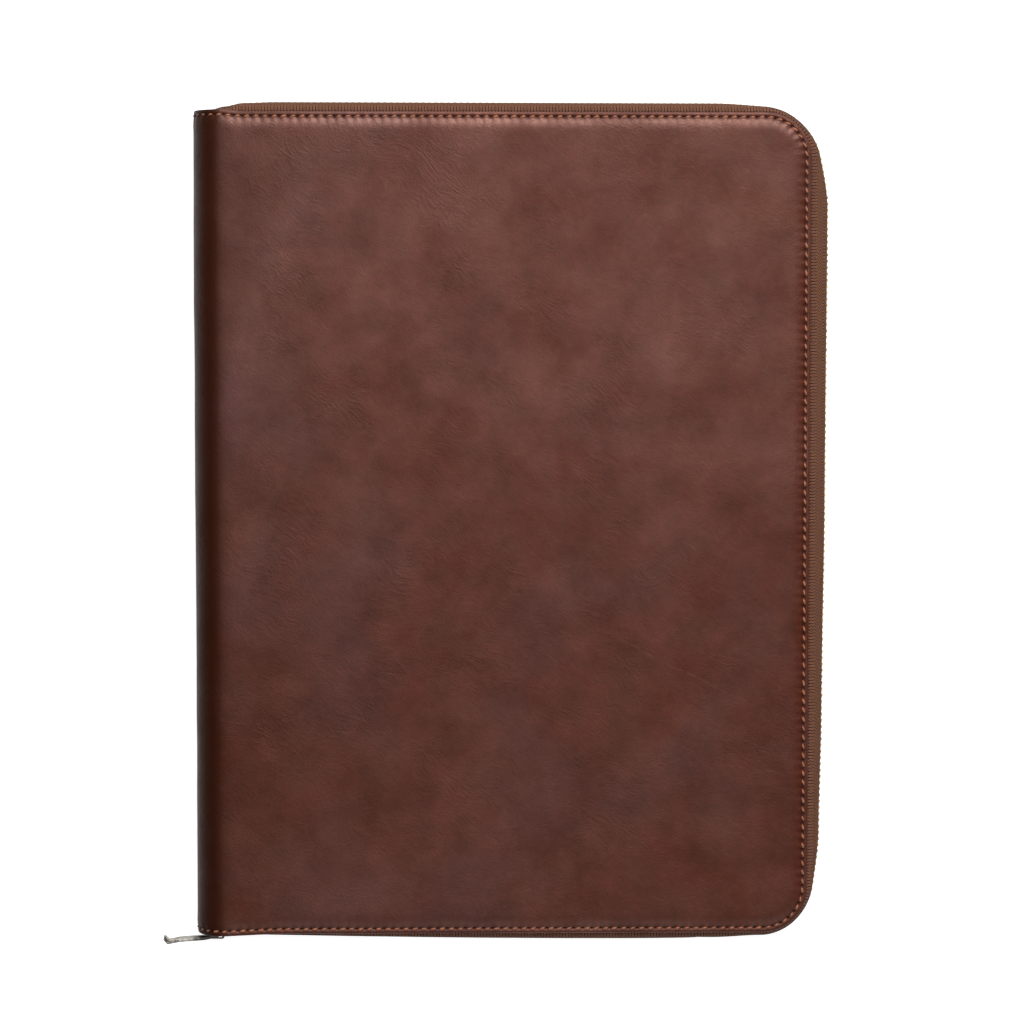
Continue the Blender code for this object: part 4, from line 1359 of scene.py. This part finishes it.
def panel(name, points, place, thickness, mat, replaced, body, puff=0.0, seam=None, mouth=None, grid=6.0, round_edge=0.3, pad=None, drop=0.0):
    """A flat soft piece. points: its outline, anticlockwise, in (u, v); place maps (u, v, height) to the frame in mm. The seam runs seam mm inside the outline, but not beside the mouth's side."""
    ring_p, ring_n = resample(points, 1.6 if seam else 3.0)
    m = len(ring_p)
    t = thickness
    verts, uvs, faces, rings, seams = [], [], [], [], []

    def top(x, y, d):
        h = np.zeros_like(d) + t
        h = h - drop * (1 - smooth(d / 7.0))
        h = h + puff * smooth(d / 9.0)
        if seam:
            h = h - 0.16 * np.exp(-(((d - seam) / 0.5) ** 2))
        return h

    def add(x, y, h, sm):
        w = np.array([place(a, b, c) for a, b, c in zip(x, y, h)])
        verts.extend(w.tolist())
        uvs.extend(np.stack([x, y], 1).tolist())
        seams.extend(np.broadcast_to(sm, np.shape(x)).tolist())

    r = round_edge
    profile = [(3.0 if seam else r * 2, 0.0), (r, 0.0), (r * 0.3, 0.08 * t), (0.0, 0.35 * t), (0.0, 0.65 * t), (r * 0.3, 0.92 * t)]
    for d, h in profile:
        q = inset_ring(points, ring_p, ring_n, d)
        lower = drop * 0.9 * (h > 0.5 * t)
        add(q[:, 0], q[:, 1], np.full(m, h - lower), 0.0)
        rings.append(m)
    insets = [r] + ([seam - 0.6, seam - 0.25, seam, seam + 0.25, seam + 0.7, seam + 2.0] if seam else [r * 2, 3.0, 5.0] if grid > 4 else [r * 2])
    for d in insets:
        q = inset_ring(points, ring_p, ring_n, d)
        dd = np.full(m, float(d))
        sm = 0.55 if seam and abs(d - seam) < 0.01 else 0.0
        add(q[:, 0], q[:, 1], top(q[:, 0], q[:, 1], dd), sm)
        rings.append(m)
    for i in range(len(rings) - 1):
        for j in range(m):
            k = (j + 1) % m
            faces.append((i * m + j, i * m + k, (i + 1) * m + k, (i + 1) * m + j))
    last = insets[-1]
    pts = np.asarray(points, float)
    x0, y0, x1, y1 = pts[:, 0].min(), pts[:, 1].min(), pts[:, 0].max(), pts[:, 1].max()
    gx, gy = np.meshgrid(np.arange(x0 + grid / 2, x1, grid), np.arange(y0 + grid / 2, y1, grid))
    gx, gy = gx.ravel(), gy.ravel()
    dist = convex_distance(points, gx, gy)
    keep = dist > last + grid * 0.3
    gx, gy, dist = gx[keep], gy[keep], dist[keep]
    q = inset_ring(points, ring_p, ring_n, last)
    tri = fill([tuple(v) for v in q], list(zip(gx.tolist(), gy.tolist())))
    base_ring, start = (len(rings) - 1) * m, len(verts)
    if len(gx):
        bump = np.array([0.12 * noise.noise(Vector((a * 0.05, b * 0.05, 7.7))) for a, b in zip(gx, gy)]) * (1 if puff or pad is None else 0.4)
        add(gx, gy, top(gx, gy, dist) + bump * 0.5 - 0.05, 0.0)
    faces += [tuple(base_ring + i if i < m else start + i - m for i in f) for f in tri]
    q = inset_ring(points, ring_p, ring_n, profile[0][0])
    tri = fill([tuple(v) for v in q], [])
    faces += [tuple(i for i in f[::-1]) for f in tri]
    obj = make(name, verts, faces, mat, uvs, {"seam": seams})
    bm = bmesh.new()
    bm.from_mesh(obj.data)
    bmesh.ops.remove_doubles(bm, verts=bm.verts, dist=1e-6)
    bmesh.ops.recalc_face_normals(bm, faces=bm.faces)
    bm.to_mesh(obj.data)
    bm.free()
    if replaced:
        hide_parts(*replaced)
    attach(obj, body)
    if seam:
        stitch_row(name + "_thread", points, place, seam, top, mouth, body, t)
    return obj


def stitch_row(name, points, place, seam, top, mouth, body, t):
    pitch, segs, sides = 3.2, 6, 6
    verts, faces = [], []
    pts = [np.array(v, float) for v in points]
    k = len(pts)
    path = []
    for i in range(k):
        if mouth is not None and i in mouth:
            continue
        a, b = pts[i], pts[(i + 1) % k]
        e = b - a
        length = np.linalg.norm(e)
        if length < 1e-6:
            continue
        e = e / length
        n = np.array((-e[1], e[0]))
        path.append((a + n * seam, b + n * seam, e, n))
    run = 0.0
    spots = []
    for a, b, e, n in path:
        length = np.linalg.norm(b - a)
        pos = -run
        while pos < length:
            if 0 <= pos and pos + 1.2 < length or (length < 4 and pos >= 0):
                spots.append((a + e * pos, e, n))
            pos += pitch
        run = (run + length) % pitch
    for at, e, n in spots:
        if convex_distance(points, np.array(at[0]), np.array(at[1])) < seam - 0.25:
            continue
        base = len(verts)
        line = []
        for i in range(segs + 1):
            f = i / segs
            q = at + e * (f - 0.5) * 2.1 + n * (0.5 - f) * 0.35
            line.append((q, t - 0.42 + 0.50 * math.sin(math.pi * f) ** 0.6))
        for i in range(segs + 1):
            q, h = line[i]
            q0, h0 = line[max(i - 1, 0)]
            q1, h1 = line[min(i + 1, segs)]
            along = np.array((*(q1 - q0), h1 - h0))
            along /= np.linalg.norm(along)
            side = np.cross((0, 0, 1), along)
            side /= np.linalg.norm(side)
            up = np.cross(along, side)
            r = 0.15 + 0.14 * math.sin(math.pi * i / segs)
            for c in range(sides):
                ang = 2 * math.pi * c / sides
                w = np.array((q[0], q[1], h)) + side * math.cos(ang) * r + up * math.sin(ang) * r
                verts.append(place(*w))
        for i in range(segs):
            for c in range(sides):
                d = (c + 1) % sides
                faces.append((base + i * sides + c, base + i * sides + d, base + (i + 1) * sides + d, base + (i + 1) * sides + c))
    if not verts:
        return
    uv = [((v[0] + v[1]) * 3, 0.0) for v in verts]
    obj = make(name, verts, faces, M_THREAD, uv)
    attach(obj, body)


def rounded_outline(x0, y0, x1, y1, r, steps=8):
    pts = [(x0, y0)]
    for a0, cx, cy in ((-90, x1 - r, y0 + r), (0, x1 - r, y1 - r)):
        for k in range(steps + 1):
            a = math.radians(a0 + 90 * k / steps)
            pts.append((cx + r * math.cos(a), cy + r * math.sin(a)))
    pts.append((x0, y1))
    return pts


def pocket_outline(x0, x1, y0, y_spine, y_free, corner=0.0):
    pts = [(x0, y0)]
    if corner:
        for k in range(9):
            a = -math.pi / 2 + math.pi / 2 * k / 8
            pts.append((x1 - corner + corner * math.cos(a), y0 + corner + corner * math.sin(a)))
    else:
        pts.append((x1, y0))
    pts += [(x1, y_free), (x0, y_spine)]
    return pts


def inside_of(front, z):
    """Maps a piece drawn on the inner side of a cover: z is its outer face's distance from the case's outside."""
    if front:
        return lambda u, v, h: (u, v, T - z - h)
    return lambda u, v, h: (u, v, z + h)


def build_inside():
    z0, step = 5.72, 1.1
    t = 0.82
    pts = pocket_outline(CX + 6, RIGHT - 4, -TOP + 4, 58.0, 22.0, R_CORNER - 4)
    panel("document_pocket_leather", pts, inside_of(True, z0), t, M_POCKET, ("document_pocket",), "front_cover", 0.18, 2.0, {len(pts) - 2}, 5.0, 0.25)
    for n, y_top in ((1, 8.0), (2, -8.0), (3, -24.0)):
        pts = pocket_outline(-84.0, 20.0, -64.0, y_top, y_top)
        panel(f"card_pocket_leather_{n}", pts, inside_of(True, z0 + n * step), t, M_POCKET, (f"card_pocket_{n}",), "front_cover", 0.10, 2.0, {2}, 5.0, 0.25)
    pts = pocket_outline(CX + 20, RIGHT - 4, -TOP + 4, -20.0, -48.0, R_CORNER - 4)
    panel("pad_pocket_leather", pts, inside_of(False, z0), t, M_POCKET, ("pad_pocket",), "back_cover", 0.18, 2.0, {len(pts) - 2}, 5.0, 0.25)
    for front in (False, True):
        side = "front" if front else "back"
        r = R_CORNER - 5.2
        pts = rounded_outline(CX + 1.5, -TOP + 5.2, RIGHT - 5.2, TOP - 5.2, r)
        mirror = (lambda u, v, h: (u, v, T - 1.62 - h)) if front else (lambda u, v, h: (u, v, 1.62 + h))
        panel(f"{side}_padding_foam", pts, mirror, 1.16, M_FOAM, (f"{side}_padding",), f"{side}_cover", 0.0, None, None, 20.0, 0.4, pad=0.7)
    # tabs across the spine's ends
    pts = []
    for k in range(17):
        a = math.radians(38 + 104 * k / 16)
        pts.append((CX - 9.6 * math.sin(a), MID - 9.6 * math.cos(a)))
    pts += [(CX + 3.0, MID + 7.0), (CX + 3.0, MID - 7.0)]
    area2 = sum(a[0] * b[1] - b[0] * a[1] for a, b in zip(pts, pts[1:] + pts[:1]))
    if area2 < 0:
        pts = pts[::-1]
    for label, y, way in (("lower", -TOP + 5.0, -1), ("upper", TOP - 5.0, 1)):
        panel(f"{label}_zip_end_tab_leather", pts, lambda u, v, h, y=y, way=way: (u, y + way * (h - 0.6), v), 1.2, M_POCKET, (f"{label}_zip_end_tab",), "back_cover", 0.0, None, None, 2.0, 0.3)
    # the pen loop: a band rolled to a tube
    px, pz, r_out, r_in, half = -110.0, 11.1, 5.15, 4.45, 15.9
    around = 48
    prof = [(-(half - 0.35 + 0.35 * math.sin(math.pi * k / 6)), (r_out + r_in) / 2 - (r_out - r_in) / 2 * math.cos(math.pi * k / 6)) for k in range(7)]
    prof += [(y, r_out - 0.14 * math.exp(-(((abs(y) - 13.9) / 0.5) ** 2))) for y in np.linspace(-15.4, 15.4, 45)]
    prof += [((half - 0.35 + 0.35 * math.sin(math.pi * k / 6)), (r_out + r_in) / 2 + (r_out - r_in) / 2 * math.cos(math.pi * k / 6)) for k in range(7)]
    prof += [(y, r_in) for y in np.linspace(15.4, -15.4, 8)]
    verts, uvs, faces = [], [], []
    m = len(prof)
    for i in range(around):
        a = 2 * math.pi * i / around
        for y, r in prof:
            verts.append((px + r * math.cos(a), y, pz + r * math.sin(a)))
            uvs.append((a * r_out, y))
    for i in range(around):
        j = (i + 1) % around
        for k in range(m):
            e = (k + 1) % m
            faces.append((i * m + k, i * m + e, j * m + e, j * m + k))
    obj = make("pen_loop_leather", verts, faces, M_POCKET, uvs)
    bm = bmesh.new()
    bm.from_mesh(obj.data)
    bmesh.ops.recalc_face_normals(bm, faces=bm.faces)
    bm.to_mesh(obj.data)
    bm.free()
    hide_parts("pen_loop")
    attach(obj, "back_cover")


# ---------------------------------------------------------------- build
leathers, seam_total = build_leather()
build_thread(seam_total)
build_lining()
build_thread(seam_total, True)
for is_front in (False, True):
    build_tape(is_front)
    build_loops(is_front)
    build_teeth(is_front)
    build_stop(is_front)
softened("slider_body", "slider_plates", M_SLIDER, "zip_slider", 0.22)
bridge = softened("slider_bridge", "slider_pull_bridge", M_SLIDER, "zip_slider", 0.12, 2)
bar = -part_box("slider_bridge")[0][1] / MM - 1.15  # the bar's inner face, which the pull's eye turns on
for v in bridge.data.vertices:
    # its outer face is worn thin
    out = -v.co.y / MM
    if out > bar:
        v.co.y = -(bar + (out - bar) * 0.5) * MM
build_pull()
build_inside()


def assign(node, mat):
    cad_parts[node].material_slots[0].material = mat


for node in ("back_board", "front_board"):
    assign(node, M_BOARD)

# ---------------------------------------------------------------- stage, light, camera
floor = bpy.data.meshes.new("floor")
floor.from_pydata([(-6, -6, -0.0004), (6, -6, -0.0004), (6, 6, -0.0004), (-6, 6, -0.0004)], [], [(0, 1, 2, 3)])
floor_obj = bpy.data.objects.new("floor", floor)
bpy.context.scene.collection.objects.link(floor_obj)
m_floor, nt, bsdf = tree("floor_pale")
g = G(nt)
tone = g.noise(g.obj(), 0.002, 2)
nt.links.new(g.mix(tone, (0.46, 0.46, 0.46), (0.49, 0.49, 0.49)), bsdf.inputs["Base Color"])
bsdf.inputs["Roughness"].default_value = 0.9
bsdf.inputs["Specular IOR Level"].default_value = 0.1
bsdf.inputs["Emission Color"].default_value = (1, 1, 1, 1)
bsdf.inputs["Emission Strength"].default_value = 0.80
floor.materials.append(m_floor)


def area(name, at, target, size, power, colour=(1, 1, 1)):
    light = bpy.data.lights.new(name, "AREA")
    light.shape = "RECTANGLE"
    light.size, light.size_y = size
    light.energy = power
    light.color = colour
    obj = bpy.data.objects.new(name, light)
    bpy.context.scene.collection.objects.link(obj)
    obj.location = at
    obj.rotation_euler = (Vector(target) - Vector(at)).to_track_quat("-Z", "Y").to_euler()
    obj.visible_camera = False
    return obj


area("key_softbox", (0.30, 1.25, 1.25), (0, 0.05, 0), (1.3, 0.5), 40)
area("overhead_softbox", (0.08, 0.06, 2.0), (0.03, 0.06, 0), (0.75, 1.6), 13.5)
area("low_fill", (0.25, -1.75, 0.36), (0, -0.05, 0.01), (1.8, 0.5), 8)
floor_obj.visible_diffuse = False
# a round pale backdrop behind it all, which throws no light of its own on the case
wall_verts = [(5.9 * math.cos(a), 5.9 * math.sin(a), z) for z in (-0.01, 4.5) for a in (2 * math.pi * i / 72 for i in range(72))]
wall = bpy.data.meshes.new("backdrop")
wall.from_pydata(wall_verts, [], [((i + 1) % 72, i, 72 + i, 72 + (i + 1) % 72) for i in range(72)])
wall_obj = bpy.data.objects.new("backdrop", wall)
bpy.context.scene.collection.objects.link(wall_obj)
m_wall, nt, bsdf = tree("backdrop_pale")
g = G(nt)
nt.links.new(g.mix(g.noise(g.obj(), 0.001, 2), (0.08, 0.08, 0.08), (0.10, 0.10, 0.10)), bsdf.inputs["Base Color"])
bsdf.inputs["Roughness"].default_value = 1.0
bsdf.inputs["Specular IOR Level"].default_value = 0.0
bsdf.inputs["Emission Color"].default_value = (1, 1, 1, 1)
bsdf.inputs["Emission Strength"].default_value = 0.86
wall.materials.append(m_wall)
wall_obj.visible_diffuse = False
wall_obj.visible_glossy = False
wall_obj.visible_transmission = False
wall_obj.visible_shadow = False
world = bpy.data.worlds.new("studio")
bpy.context.scene.world = world
world.use_nodes = True
world.node_tree.nodes["Background"].inputs[0].default_value = (1, 1, 1, 1)
world.node_tree.nodes["Background"].inputs[1].default_value = 0.14

cam_data = bpy.data.cameras.new("camera")
cam_data.lens = 105.72
cam_data.sensor_width = 36
cam_data.clip_end = 50
cam = bpy.data.objects.new("camera", cam_data)
bpy.context.scene.collection.objects.link(cam)
cam.location = (-0.02416, 0.08091, 1.300)
cam.rotation_euler = (math.radians(-3.3701), math.radians(-1.2704), math.radians(0.039))
bpy.context.scene.camera = cam
bpy.context.scene.view_settings.view_transform = "Standard"
bpy.context.scene.view_settings.look = "None"
bpy.context.scene.view_settings.exposure = 0.0
